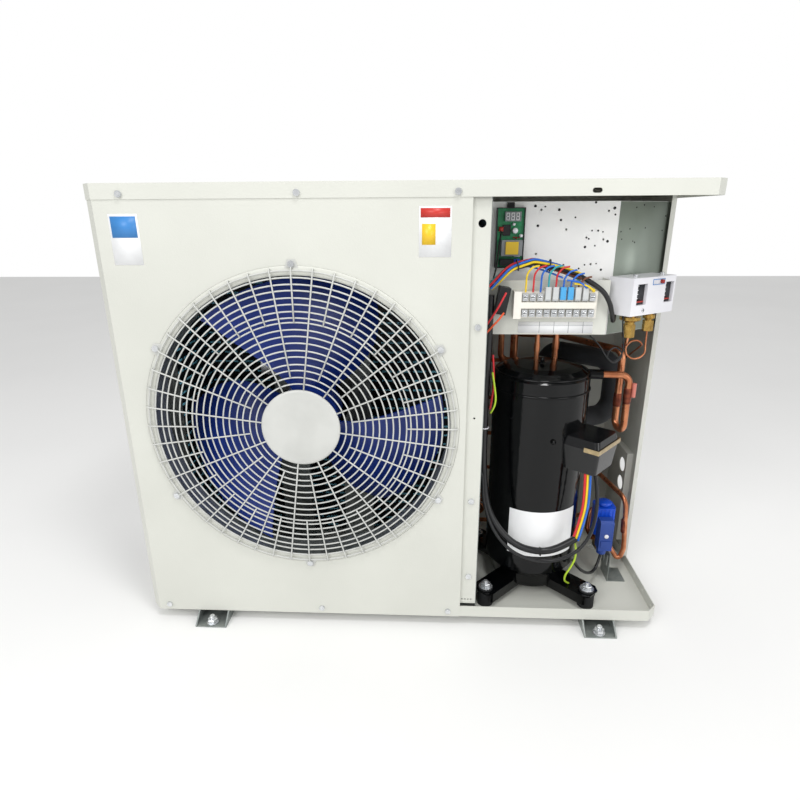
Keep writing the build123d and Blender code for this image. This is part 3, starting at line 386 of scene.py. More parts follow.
# ---------------------------------------------------------------- surfaces
def grid_faces(rows: int, columns: int, close_rows: bool = False, close_columns: bool = False) -> np.ndarray:
    """Quads of a grid of points stored row by row.

    Args:
        rows: Number of rows of points.
        columns: Number of points in a row.
        close_rows: Joins the last row to the first.
        close_columns: Joins the last point of each row to its first.

    Returns:
        One row of four point numbers for each quad.
    """
    i, j = np.meshgrid(np.arange(rows if close_rows else rows - 1),
                       np.arange(columns if close_columns else columns - 1), indexing="ij")
    after_i, after_j = (i + 1) % rows, (j + 1) % columns
    corners = [i * columns + j, i * columns + after_j, after_i * columns + after_j, after_i * columns + j]
    return np.stack(corners, axis=-1).reshape(-1, 4)


def joined(shapes: list[Shape]) -> Shape:
    """Makes one shape out of several.

    Args:
        shapes: The shapes, each with point numbers of its own.

    Returns:
        All their points and quads, with the point numbers moved on.
    """
    offsets = np.cumsum([0] + [len(points) for points, _ in shapes[:-1]])
    points = np.concatenate([p for p, _ in shapes])
    faces = np.concatenate([f + offset for (_, f), offset in zip(shapes, offsets)])
    return points, faces


def lathe(profile: list[tuple[float, float]], segments: int = 48) -> Shape:
    """Surface of revolution about Z: each (radius, height) of the profile becomes a circle.

    Args:
        profile: Points from the bottom outwards and up, so that the faces point out.
        segments: Points on each circle.

    Returns:
        Points in millimetres and quads.
    """
    radius, height = np.array(profile, float).T
    angle = np.linspace(0, 2 * np.pi, segments, endpoint=False)
    x = radius[:, None] * np.cos(angle)
    y = radius[:, None] * np.sin(angle)
    z = np.repeat(height[:, None], segments, axis=1)
    return np.stack([x, y, z], axis=-1).reshape(-1, 3), grid_faces(len(profile), segments, close_columns=True)


def swept(path: np.ndarray, radius: float | np.ndarray, sides: int = 10, closed: bool = False) -> Shape:
    """Round tube along a path: a circle in the plane across the path at each of its points.

    Args:
        path: Points of the centre line, in millimetres.
        radius: Radius, the same all along or one for each point.
        sides: Points round the tube.
        closed: Joins the end to the start.

    Returns:
        Points in millimetres and quads, with the ends drawn to a point when open.
    """
    if closed:
        tangent = np.roll(path, -1, axis=0) - np.roll(path, 1, axis=0)
    else:
        tangent = np.gradient(path, axis=0)
    tangent /= np.linalg.norm(tangent, axis=1, keepdims=True)
    flat = np.linalg.svd(path - path.mean(axis=0))[2][2]
    side = np.cross(tangent, flat)
    side /= np.linalg.norm(side, axis=1, keepdims=True)
    up = np.cross(side, tangent)
    angle = np.linspace(0, 2 * np.pi, sides, endpoint=False)
    size = np.broadcast_to(np.asarray(radius, float), (len(path),))[:, None, None]
    ring = np.cos(angle)[None, :, None] * side[:, None] + np.sin(angle)[None, :, None] * up[:, None]
    points = path[:, None] + size * ring
    if not closed:
        ends = [np.repeat(path[i][None, None], sides, axis=1) for i in (0, -1)]
        points = np.concatenate([ends[0], points, ends[1]])
    rows = len(points)
    return points.reshape(-1, 3), grid_faces(rows, sides, close_rows=closed, close_columns=True)


def row_of(first: Box, step: Point, count: int) -> list[Box]:
    """Repeats a box in a straight row.

    Args:
        first: Low and high corner of the first box.
        step: Move from one box to the next.
        count: Number of boxes.

    Returns:
        Low and high corner of every box.
    """
    return [tuple(tuple(c + k * s for c, s in zip(corner, step)) for corner in first) for k in range(count)]


def blocks(corners: Sequence[Box]) -> Shape:
    """Boxes between opposite corners: each corner of a unit cube is scaled and moved onto the box.

    Args:
        corners: Low and high corner of each box.

    Returns:
        Eight points and six quads for each box.
    """
    unit = np.array([[x, y, z] for z in (0, 1) for y in (0, 1) for x in (0, 1)], float)
    sides = np.array([[0, 2, 3, 1], [4, 5, 7, 6], [0, 1, 5, 4], [1, 3, 7, 5], [3, 2, 6, 7], [2, 0, 4, 6]])
    low = np.array([c[0] for c in corners], float)[:, None]
    high = np.array([c[1] for c in corners], float)[:, None]
    points = low + (high - low) * unit[None]
    faces = sides[None] + 8 * np.arange(len(corners))[:, None, None]
    return points.reshape(-1, 3), faces.reshape(-1, 4)


def turned_to(shape: Shape, axis: str = "Z", place: Point = (0, 0, 0), turn: float = 0.0) -> Shape:
    """Moves a shape made about Z onto another axis and place.

    Args:
        shape: The shape.
        axis: Z leaves it standing, -Y points it to the front, X to the right.
        place: Where its origin goes, in millimetres.
        turn: Degrees about its own axis, made first.

    Returns:
        The moved shape.
    """
    points, faces = shape
    a = math.radians(turn)
    spin = np.array([[math.cos(a), math.sin(a), 0], [-math.sin(a), math.cos(a), 0], [0, 0, 1]])
    to = {"Z": np.eye(3), "-Y": np.array([[1, 0, 0], [0, 0, 1], [0, -1, 0]]),
          "X": np.array([[0, 1, 0], [0, 0, 1], [1, 0, 0]])}[axis]
    return points @ spin @ to + np.array(place, float), faces


def in_frame(shape: Shape, origin: Point, degrees: float) -> Shape:
    """Moves a shape from a local frame turned about Z into the unit's frame.

    Args:
        shape: The shape in its local frame.
        origin: Where that frame's origin is, in millimetres.
        degrees: Its turn about Z.

    Returns:
        The moved shape.
    """
    points, faces = shape
    a = math.radians(degrees)
    spin = np.array([[math.cos(a), math.sin(a), 0], [-math.sin(a), math.cos(a), 0], [0, 0, 1]])
    return points @ spin + np.array(origin, float), faces


def round_edges(thing: bpy.types.Object, width: float, harden: bool = False) -> None:
    """Adds a Bevel modifier to the sharp edges of an object.

    Args:
        thing: The object.
        width: Width of the bevel in millimetres.
        harden: Shades the flat faces beside it flat.
    """
    round_off = thing.modifiers.new("edge_radius", "BEVEL")
    round_off.width = width * MM
    round_off.segments = 2
    round_off.limit_method = "ANGLE"
    round_off.harden_normals = harden


def piece(name: str, shape: Shape, finish: Finish, body: str = "casing", bevel: float = 0.0,
          smooth: bool = True, merge: bool = True) -> bpy.types.Object:
    """Puts a shape into Blender as one piece that rides on a body.

    Args:
        name: Name of the piece.
        shape: Points in millimetres and quads.
        finish: Its material.
        body: The body that carries it.
        bevel: Width of a Bevel modifier in millimetres, or 0 for none.
        smooth: Shades it smooth.
        merge: Welds doubled points, as at poles.

    Returns:
        The new object.
    """
    points, faces = shape
    mesh = bpy.data.meshes.new(name)
    mesh.from_pydata((points * MM).tolist(), [], faces.tolist())
    if merge:
        work = bmesh.new()
        work.from_mesh(mesh)
        bmesh.ops.remove_doubles(work, verts=work.verts, dist=2e-6)
        bmesh.ops.recalc_face_normals(work, faces=work.faces)
        work.to_mesh(mesh)
        work.free()
    mesh.validate()
    mesh.polygons.foreach_set("use_smooth", np.full(len(mesh.polygons), smooth))
    made = bpy.data.objects.new(name, mesh)
    bpy.context.scene.collection.objects.link(made)
    mesh.materials.append(finish.material())
    if bevel:
        round_edges(made, bevel, harden=True)
    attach(made, body)
    LOG.info("%s: %d faces on %s", name, len(mesh.polygons), body)
    return made


def box_mm(node: str) -> tuple[np.ndarray, np.ndarray]:
    """Finds the corners of a CAD node.

    Args:
        node: Name of the node.

    Returns:
        Its lowest and its highest corner, in millimetres.
    """
    low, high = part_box(node)
    return np.array(low) / MM, np.array(high) / MM


def dress(finish: Finish, *nodes: str, bevel: float = 0.0) -> None:
    """Gives CAD nodes a finish, and a small edge radius where they need one.

    Args:
        finish: Their material.
        nodes: Names of the nodes.
        bevel: Width of a Bevel modifier in millimetres, or 0 for none.
    """
    for name in nodes:
        node = frame["nodes"][name]
        node.data.materials.clear()
        node.data.materials.append(finish.material())
        if bevel:
            round_edges(node, bevel)


def cord_piece(name: str, route: list[Point] | np.ndarray, radius: float, finish: Finish) -> bpy.types.Object:
    """Args:
        name: Name of the piece.
        route: Points in millimetres; both ends are on the unit.
        radius: Radius in millimetres.
        finish: Its material.

    Returns:
        The curve object.
    """
    places = np.array(route, float) * MM
    curve = bpy.data.curves.new(name, "CURVE")
    curve.dimensions = "3D"
    curve.resolution_u = 6
    line = curve.splines.new("NURBS")
    line.points.add(len(places) - 1)
    line.points.foreach_set("co", np.column_stack([places, np.ones(len(places))]).ravel())
    line.order_u = 3
    line.use_endpoint_u = True
    made = bpy.data.objects.new(name, curve)
    bpy.context.scene.collection.objects.link(made)
    bare = bpy.data.meshes.new_from_object(made)
    along = np.empty(len(bare.vertices) * 3)
    bare.vertices.foreach_get("co", along)
    bpy.data.meshes.remove(bare)
    curve.bevel_depth = radius * MM
    curve.bevel_resolution = 2
    curve.use_fill_caps = True
    curve.materials.append(finish.material())
    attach(made, "casing")
    return made


# ---------------------------------------------------------------- casing and fan
@dataclass
class Casing:
    """The sheet-metal case: the labels on its front and the holding-down bolts.

    Attributes:
        face: Y of the front panel's face.
        label_lift: Thickness of one layer of a label.
        labels: Name, finish, low and high corner in X and Z, and layer of each flat colour. None has
            words: one label holds a blue block, the other a red strip and a yellow block.
        bolt_x: X of the two front holding-down bolts.
        bolt_y: Their Y.
        bolt_seat: Height of their washers above the underside of the rails.
    """

    face: float = -180.0
    label_lift: float = 0.3
    labels: tuple[tuple[str, Finish, Pair, Pair, int], ...] = (
        ("left_label", LABEL_WHITE, (-435.6, 659.6), (-390.2, 734.5), 0),
        ("left_label_blue", LABEL_BLUE, (-432.6, 700.0), (-393.2, 731.0), 1),
        ("right_label", LABEL_WHITE, (33.3, 670.3), (81.6, 742.7), 0),
        ("right_label_red", LABEL_RED, (35.8, 727.0), (79.1, 740.0), 1),
        ("right_label_yellow", LABEL_YELLOW, (37.8, 688.0), (58.0, 718.0), 1))
    bolt_x: Pair = (-352.0, 366.0)
    bolt_y: float = -192.0
    bolt_seat: float = 3.0

    def stick_labels(self) -> None:
        """Lays each flat colour on the front panel, above the layers under it."""
        for name, finish, low, high, layer in self.labels:
            back, front = self.face - self.label_lift * layer, self.face - self.label_lift * (layer + 1)
            piece(name, blocks([((low[0], front, low[1]), (high[0], back, high[1]))]), finish)

    def bolts(self) -> None:
        """Hexagon bolts with washers in the front ends of the rails."""
        washer = lathe([(0, 0), (11, 0), (11, 1.8), (0, 1.8)], 36)
        head = lathe([(0, 1.8), (9, 1.8), (9.8, 2.6), (9.8, 7.4), (8.8, 8.4), (0, 8.6)], 6)
        stem = lathe([(0, 8.4), (4.8, 8.4), (4.8, 13.5), (4.0, 14.5), (0, 14.5)], 24)
        for side, x in zip(("left", "right"), self.bolt_x):
            seat = float(box_mm(f"foot_rail_{side}")[0][2]) + self.bolt_seat
            bolt = turned_to(joined([washer, head, stem]), place=(x, self.bolt_y, seat))
            piece(f"holding_bolt_{side}", bolt, ZINC, smooth=False)

    def build(self) -> None:
        """Adds the labels and bolts."""
        self.stick_labels()
        self.bolts()


@dataclass
class FanGuard:
    """Welded wire guard: concentric rings behind radial spokes, hooked back over the outer ring.

    Attributes:
        centre: Middle of the fan opening on the front panel.
        ring_radii: Radius of each ring.
        ring_points: Points round each ring and round the opening's lip.
        wire: Wire radius.
        ring_y: Y of the rings' centre line.
        spoke_y: Y of the spokes' centre line.
        spoke_sets: Inner radius, first angle in degrees and number of each set of spokes.
        spoke_end: Radius at which a spoke starts to bend back.
        hook: Radius and Y of each point of that bend.
        disc_y: Y of the back of the disc over the hub.
        tab: Low and high corner of a fixing tab, with Z from the fan's axis.
        tab_taper: Width of a tab's outer end as a share of its inner end.
    """

    centre: Point = (-161.0, -180.0, 396.0)
    ring_radii: tuple[float, ...] = (75.5, 86.4, 98, 108, 120.6, 131, 143, 154, 164.5, 175.8, 183, 193, 204,
                                     214, 225.3, 234.7, 245, 255.7)
    ring_points: int = 120
    wire: float = 1.3
    ring_y: float = -185.3
    spoke_y: float = -187.8
    spoke_sets: tuple[tuple[float, float, int], ...] = ((60.0, 7.5, 12), (86.4, 22.5, 12), (175.8, 0.0, 24))
    spoke_end: float = 255.0
    hook: tuple[Pair, ...] = ((257.6, -187.2), (258.8, -185.8), (259.2, -183.5), (259.2, -181.0))
    disc_y: float = -186.0
    tab: Box = ((-13, -181.5, 254), (13, -180.2, 272))
    tab_taper: float = 0.45

    def place(self, radius: np.ndarray, degrees: float | np.ndarray, y: float | np.ndarray) -> np.ndarray:
        """Points at polar places about the fan's axis.

        Args:
            radius: Distance of each point from the axis.
            degrees: Angle of each point, clockwise from the top as seen from the front.
            y: Y of each point.

        Returns:
            One row of X, Y and Z for each point.
        """
        angle = np.radians(degrees)
        parts = np.broadcast_arrays(self.centre[0] + radius * np.sin(angle), y,
                                    self.centre[2] + radius * np.cos(angle))
        return np.stack(parts, axis=-1).astype(float)

    def rings(self) -> Shape:
        """One closed round wire for each radius."""
        turn = np.linspace(0, 360, self.ring_points, endpoint=False)
        return joined([swept(self.place(np.full(self.ring_points, radius), turn, self.ring_y), self.wire, 8,
                             closed=True) for radius in self.ring_radii])

    def spokes(self) -> Shape:
        """Straight wires running outwards in three lengths, each bent back over the outer ring.

        Returns:
            All the spokes as one shape.
        """
        hook_radius, hook_y = np.array(self.hook).T
        run = np.array([0.0, 0.5, 1.0])
        y = np.concatenate([np.full(len(run), self.spoke_y), hook_y])
        wires = []
        for start, first, count in self.spoke_sets:
            radius = np.concatenate([start + (self.spoke_end - start) * run, hook_radius])
            wires += [swept(self.place(radius, first + 360 / count * k, y), self.wire, 8)
                      for k in range(count)]
        return joined(wires)

    def disc(self) -> Shape:
        """Plain pressed disc over the hub, its rim turned back."""
        profile = [(0, 4.0), (61.5, 4.0), (64.6, 3.4), (66.0, 1.8), (66.0, 0.4), (64.8, 0.4), (0, 0.4)]
        return turned_to(lathe(profile, 96), "-Y", (self.centre[0], self.disc_y, self.centre[2]))

    def tabs(self) -> Shape:
        """Six fixing tabs round the rim: a block narrowed at its outer end and turned about the axis.

        Returns:
            All the tabs as one shape.
        """
        made = []
        for k in range(6):
            angle = math.radians(60 * k)
            points, faces = blocks([self.tab])
            points[:, 0] *= np.where(points[:, 2] > self.tab[0][2], self.tab_taper, 1.0)
            x = self.centre[0] + points[:, 0] * math.cos(angle) + points[:, 2] * math.sin(angle)
            z = self.centre[2] - points[:, 0] * math.sin(angle) + points[:, 2] * math.cos(angle)
            made.append((np.stack([x, points[:, 1], z], axis=-1), faces))
        return joined(made)

    def lip(self) -> Shape:
        """Raised pressed lip of the opening, seen behind the outer rings."""
        profile = [(247.3, 0.2), (263.0, 0.2), (261.0, 1.2), (252.0, 2.4), (248.2, 1.6)]
        return turned_to(lathe(profile + profile[:1], self.ring_points), "-Y", self.centre)

    def build(self) -> None:
        """Stands in for the frame's simpler guard."""
        guard = piece("guard_spokes", self.spokes(), GUARD_COAT)
        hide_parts("grille")
        piece("guard_rings", self.rings(), GUARD_COAT)
        piece("guard_disc", self.disc(), GUARD_COAT)
        piece("guard_tabs", self.tabs(), GUARD_COAT, bevel=0.4)
        piece("opening_lip", self.lip(), CASING_PAINT)


@dataclass
class MotorGusset:
    """Pale zinc gusset between the motor's plate and its rail, seen past the blades' edge.

    Attributes:
        plate: Low and high corner of its upright plate.
        rib: Low and high corner of the rib behind it.
        top_share: Width of the plate's top as a share of its bottom.
    """

    plate: Box = ((-276, -4, 436), (-226, -1.5, 502))
    rib: Box = ((-254, -1.5, 436), (-251.5, 20.0, 470))
    top_share: float = 0.3

    def build(self) -> None:
        """Adds the gusset: its top corners are drawn towards its left edge."""
        points, faces = blocks([self.plate])
        left, _, bottom = self.plate[0]
        drawn_in = left + self.top_share * (points[:, 0] - left)
        points[:, 0] = np.where(points[:, 2] > bottom, drawn_in, points[:, 0])
        piece("motor_gusset", joined([(points, faces), blocks([self.rib])]), ZINC,
              bevel=0.5)


# ---------------------------------------------------------------- refrigerant side
@dataclass
class Compressor:
    """Hermetic compressor: the beads round its shell, lifting stud, foot bolts, nub and blank label.

    Attributes:
        axis: X and Y of its upright axis.
        radius: Radius of the shell.
        beads: Name, height, depth inside the shell's radius and own radius of each bead.
        stud_seat: Height of the cap under the stud.
        bolt_reach: Distance of the foot bolts from the axis, in X and in Y.
        foot_top: Height of the feet's upper face.
        nub_shift: X of the nub from the axis.
        nub_sunk: How far its root is inside the shell.
        nub_height: Its height.
        label_angles: First and last angle of the label about the axis, in degrees.
        label_heights: Its lower and upper edge.
        label_lifts: Distance of its back and face from the shell.
    """

    axis: Pair = (258.0, -42.5)
    radius: float = 86.5
    beads: tuple[tuple[str, float, float, float], ...] = (("shell_seam", 431.5, 0.4, 2.3),
                                                          ("cap_rim", 460.0, 3.8, 2.2))
    stud_seat: float = 470.5
    bolt_reach: float = 95.25
    foot_top: float = 58.6
    nub_shift: float = 11.0
    nub_sunk: float = 1.5
    nub_height: float = 352.0
    label_angles: Pair = (-128.5, -40.5)
    label_heights: Pair = (119.0, 212.0)
    label_lifts: Pair = (0.15, 0.5)

    def round_beads(self) -> None:
        """Rolled and welded beads: each is a circle about the axis, swept with a round section."""
        angle = np.linspace(0, 2 * np.pi, 96, endpoint=False)
        for name, height, inset, thick in self.beads:
            reach = self.radius - inset
            ring = np.stack([self.axis[0] + reach * np.cos(angle), self.axis[1] + reach * np.sin(angle),
                             np.full(len(angle), height)], axis=-1)
            piece(name, swept(ring, thick, 10, closed=True), ENAMEL)

    def fittings(self) -> None:
        """The cap's stud, the bolts through the rubber feet and the nub on the shell's front."""
        stud = lathe([(0, 0), (7, 0), (7, 3), (4, 4), (4, 11), (3, 12), (0, 12)], 24)
        piece("cap_stud", turned_to(stud, place=(*self.axis, self.stud_seat)), ENAMEL)
        head = lathe([(0, 0), (8.2, 0), (9.0, 0.8), (9.0, 5.6), (8.2, 6.6), (0, 6.8)], 6)
        thread = lathe([(0, 6.6), (4, 6.6), (4, 11), (3.3, 11.8), (0, 11.8)], 20)
        bolts = [turned_to(joined([head, thread]), turn=20,
                           place=(self.axis[0] + self.bolt_reach * i, self.axis[1] + self.bolt_reach * j,
                                  self.foot_top)) for i in (-1, 1) for j in (-1, 1)]
        piece("foot_bolt_heads", joined(bolts), ZINC, smooth=False)
        nub = lathe([(0, 0), (5, 0), (5, 2.5), (3, 3.5), (3, 6.5), (0, 7)], 20)
        place = (self.axis[0] + self.nub_shift, self.axis[1] - self.radius + self.nub_sunk, self.nub_height)
        piece("shell_nub", turned_to(nub, "-Y", place), ENAMEL)

    def label(self) -> None:
        """Blank white plate bent to the shell: x and y follow its circle and z runs straight up."""
        angle = np.radians(np.linspace(*self.label_angles, 33))
        a, z = np.meshgrid(angle, np.array(self.label_heights), indexing="ij")
        faces = grid_faces(*a.shape)
        sheets = []
        for lift in self.label_lifts:
            reach = self.radius + lift
            sheet = np.stack([self.axis[0] + reach * np.cos(a), self.axis[1] + reach * np.sin(a), z], axis=-1)
            sheets.append((sheet.reshape(-1, 3), faces))
        piece("compressor_label", joined(sheets), LABEL_WHITE, merge=False)

    def build(self) -> None:
        """Adds the beads, fittings and label."""
        self.round_beads()
        self.fittings()
        self.label()


@dataclass
class Joints:
    """Brazed sockets where copper tubes meet: a darker, slightly thicker sleeve.

    Attributes:
        runs: Start, end and tube radius of each sleeve.
        stations: Places along a sleeve, as shares of its length.
        swell: How much thicker than its tube it is at each of them.
    """

    runs: tuple[tuple[Point, Point, float], ...] = (
        ((413, -56, 430), (413, -56, 400), 6.35), ((407.5, -23, 384), (407.5, -23, 410), 6.35),
        ((446, -39.7, 120), (445, -38.4, 150), 4.76), ((203, 117, 560), (203, 117, 528), 6.35))
    stations: tuple[float, ...] = (0, 0.08, 0.5, 0.92, 1.0)
    swell: tuple[float, ...] = (0.1, 0.9, 1.1, 0.9, 0.1)

    def build(self) -> None:
        """Adds each sleeve, its ends rounded off onto the tube."""
        along = np.array(self.stations)[:, None]
        for number, (start, end, radius) in enumerate(self.runs, 1):
            path = np.array(start, float) * (1 - along) + np.array(end, float) * along
            piece(f"brazed_joint_{number}", swept(path, radius + np.array(self.swell), 20), COPPER_BRAZED)


@dataclass
class Solenoid:
    """Solenoid valve: ribs on the coil's face, the cap over it, and the plug's screw and step.

    Attributes:
        first_rib: Low and high corner of the leftmost rib.
        rib_pitch: Spacing of the ribs.
        rib_count: Their number.
        cap_axis: X and Y of the coil's upright axis.
        plug_screw: Seat of the screw in the plug's face.
        plug_step: Low and high corner of the step under that screw.
    """

    first_rib: Box = ((386.5, -51.2, 150), (390.5, -49.8, 176))
    rib_pitch: float = 7.6
    rib_count: int = 5
    cap_axis: Pair = (404.5, -31)
    plug_screw: Point = (401, -74, 131)
    plug_step: Box = ((391, -76, 106), (411, -74, 120))

    def build(self) -> None:
        """Adds the coil's and the plug's details."""
        ribs = row_of(self.first_rib, (self.rib_pitch, 0, 0), self.rib_count)
        piece("coil_ribs", blocks(ribs), COIL_BLUE, bevel=0.4)
        cap = lathe([(0, 178), (13, 178), (14, 179.5), (14, 184), (12.5, 186), (0, 186)], 32)
        piece("coil_cap", turned_to(cap, place=(*self.cap_axis, 0)), COIL_BLUE)
        screw = lathe([(0, 0), (4.2, 0), (4.2, 1.4), (3.4, 2.0), (0, 2.0)], 24)
        piece("plug_screw", turned_to(screw, "-Y", self.plug_screw), CASE_WHITE)
        piece("plug_step", blocks([self.plug_step]), PLUG_BLUE, bevel=0.6)


# ---------------------------------------------------------------- electrical side
@dataclass
class ControlPanel:
    """Electrical plate: its holes, ruled card, terminal screws, tab connectors and board parts.

    Attributes:
        face: Y of the perforated plate's face.
        wing_x: X of the fold between the plate and its wing.
        wing_turn: Turn of the wing about Z, in degrees.
        wing: Low and high corner of the sheet on the wing, from the fold.
        plate_holes: X, Z and radius of each hole in the plate.
        wing_holes: The same in the wing, with X from the fold.
        card: Low and high corner of the ruled card under the terminals.
        rule: Width of a ruled line.
        rule_z: Height of the line across the card.
        rule_x: X of the upright lines.
        block_x: X of the first terminal clamp's middle.
        pitch: Spacing of the clamps.
        ways: Number of clamps in a row.
        screw_y: Y of the screws' seats.
        screw_rows: Heights of the two rows of screws.
        screw_slot: Low and high corner of a screw's slot, with X and Z from its seat.
        tab: Low and high corner of a tab's shroud, with X from its clamp's middle.
        board_face: Y of the control board's face.
        digit: X and Z of the first digit's lower left corner.
        digit_pitch: Spacing of the digits.
        digit_y: Y of the front and back of their bars.
    """

    face: float = -68.0
    wing_x: float = 358.5
    wing_turn: float = 34.0
    wing: Box = ((0.6, -0.5, 531.0), (136.5, -0.1, 749.5))
    plate_holes: tuple[Point, ...] = (
        (222, 743, 2.2), (238, 742, 1.4), (261, 737, 2.2), (288, 725, 1.4), (228, 712, 2.2), (265, 721, 2.0),
        (319, 748, 1.8), (350, 739, 2.4), (352, 729, 1.5), (317, 704, 1.4), (327, 704, 1.6), (335, 702, 1.2),
        (313, 691, 1.5), (308, 678, 2.1), (324, 680, 1.4), (344, 687, 2.2), (223, 655, 1.9), (216, 652, 1.4),
        (275, 649, 1.5), (301, 643, 1.5), (310, 649, 1.3), (253, 640, 1.7), (329, 651, 1.2), (338, 641, 1.9))
    wing_holes: tuple[Point, ...] = (
        (41, 740, 1.3), (60, 744, 1.5), (87, 741, 1.1), (122, 726, 1.5), (30, 706, 1.3), (70, 707, 1.2),
        (117, 702, 1.3), (41, 686, 1.1), (46, 684, 1.3), (8, 702, 1.3), (12, 690, 1.2))
    card: Box = ((199, -108.4, 541), (322, -108.1, 560))
    rule: float = 0.6
    rule_z: float = 554.0
    rule_x: tuple[float, ...] = (234, 258, 282, 306)
    block_x: float = 205.2
    pitch: float = 11.9
    ways: int = 10
    screw_y: float = -127.0
    screw_rows: Pair = (577.0, 603.0)
    screw_slot: Box = ((-2.9, -128.65, -0.5), (2.9, -128.45, 0.5))
    tab: Box = ((-4.6, -129.6, 599.0), (4.6, -121.5, 619.5))
    board_face: float = -76.9
    digit: Pair = (173.8, 721.4)
    digit_pitch: float = 8
    digit_y: Pair = (-86.25, -86.0)

    def discs(self, holes: tuple[Point, ...], y: float, depth: float) -> Shape:
        """Thin dark discs that stand for punched holes: painted shade for the dark seen through them.

        Args:
            holes: X, Z and radius of each.
            y: Y of their back.
            depth: Their thickness.

        Returns:
            All the discs as one shape.
        """
        return joined([turned_to(lathe([(0, 0), (r, 0), (r, depth), (0, depth)], 14), "-Y", (x, y, z))
                       for x, z, r in holes])

    def holes(self) -> None:
        """Punched holes scattered over the flat plate and its turned wing, whose grey-green sheet is painted
        shade.
        """
        fold = (self.wing_x, self.face, 0)
        # Dark discs on the plate: painted shade standing in for its holes.
        piece("plate_holes", self.discs(self.plate_holes, self.face, 0.3), RUBBER_AND_PAINTED_SHADE)
        # The wing's grey-green is painted shade: it is the white sheet turned away from the light.
        piece("wing_sheet", in_frame(blocks([self.wing]), fold, self.wing_turn), SHADED_WING_PAINT)
        # Dark discs on the wing: painted shade standing in for its holes.
        holes = self.discs(self.wing_holes, self.wing[0][1], 0.2)
        piece("wing_holes", in_frame(holes, fold, self.wing_turn), RUBBER_AND_PAINTED_SHADE)

    def table(self) -> None:
        """Blank ruled card under the terminals."""
        piece("terminal_card", blocks([self.card]), LABEL_WHITE)
        (left, back, bottom), (right, _, top) = self.card
        front = back - 0.2
        rules = [((left, front, self.rule_z), (right, back, self.rule_z + self.rule))]
        rules += [((x, front, bottom), (x + self.rule, back, top)) for x in self.rule_x]
        piece("card_rules", blocks(rules), GREY_PART, merge=False)

    def terminals(self) -> None:
        """Slotted screw heads of the two rows, and insulated tabs pushed onto the upper one."""
        head = lathe([(0, 0), (3.5, 0), (3.5, 1.0), (2.9, 1.5), (0, 1.5)], 20)
        clamps = [self.block_x + self.pitch * i for i in range(self.ways)]
        seats = [(x, self.screw_y, z) for x in clamps for z in self.screw_rows]
        piece("terminal_screws", joined([turned_to(head, "-Y", seat) for seat in seats]), ZINC)
        slots = [tuple((x + dx, y, z + dz) for dx, y, dz in self.screw_slot) for x, _, z in seats]
        # Dark bars on the screw heads: painted shade in their slots.
        piece("terminal_screw_slots", blocks(slots), RUBBER_AND_PAINTED_SHADE, merge=False)
        for name, finish, ways in (("tabs_clear", CLEAR_SHROUD, (3, 4, 7, 8)),
                                   ("tabs_blue", SKY_SHROUD, (5, 6))):
            shrouds = [tuple((clamps[i] + dx, y, z) for dx, y, z in self.tab) for i in ways]
            piece(name, blocks(shrouds), finish, bevel=1.0)

    def digits(self) -> Shape:
        """Three digits of seven bars: each bar is a box at its own corner of the digit's cell.

        Returns:
            All the bars as one shape.
        """
        bars = ((0, 0, 4.6, 0.9), (0, 5.2, 4.6, 0.9), (0, 10.4, 4.6, 0.9), (-0.3, 0.9, 0.9, 4.1),
                (4.0, 0.9, 0.9, 4.1), (-0.3, 6.3, 0.9, 4.1), (4.0, 6.3, 0.9, 4.1))
        front, back = self.digit_y
        cells = [(self.digit[0] + self.digit_pitch * number, self.digit[1]) for number in range(3)]
        return blocks([((left + x, front, low + z), (left + x + wide, back, low + z + tall))
                       for left, low in cells for x, z, wide, tall in bars])

    def board(self) -> None:
        """Display, transformer, relay, chip, capacitors, resistors and plug headers of the control board."""
        front = self.board_face
        cans = [turned_to(lathe([(0, 0), (r, 0), (r, 9), (r - 0.7, 9.8), (0, 9.8)], 20), "-Y", (x, front, z))
                for x, z, r in ((189, 705, 4.4), (199, 697, 2.6), (186.5, 715, 2.2))]
        resistors = [((187 + 4.2 * k, front - 1.8, 693 - 1.2 * (k % 2)), (189.6 + 4.2 * k, front, 695))
                     for k in range(3)]
        # The chip's legs on its left, and flat ones of no width beyond its right side.
        legs = row_of(((169, front - 1.4, 698), (170, front, 698.8)), (0, 0, 2.2), 7)
        legs += row_of(((183, front - 1.4, 698), (183, front, 698.8)), (0, 0, 2.2), 7)

        def block(left: float, out: float, low: float, right: float, high: float,
                  back: float = front) -> Shape:
            """One box that stands out from the board to the given Y."""
            return blocks([((left, out, low), (right, back, high))])

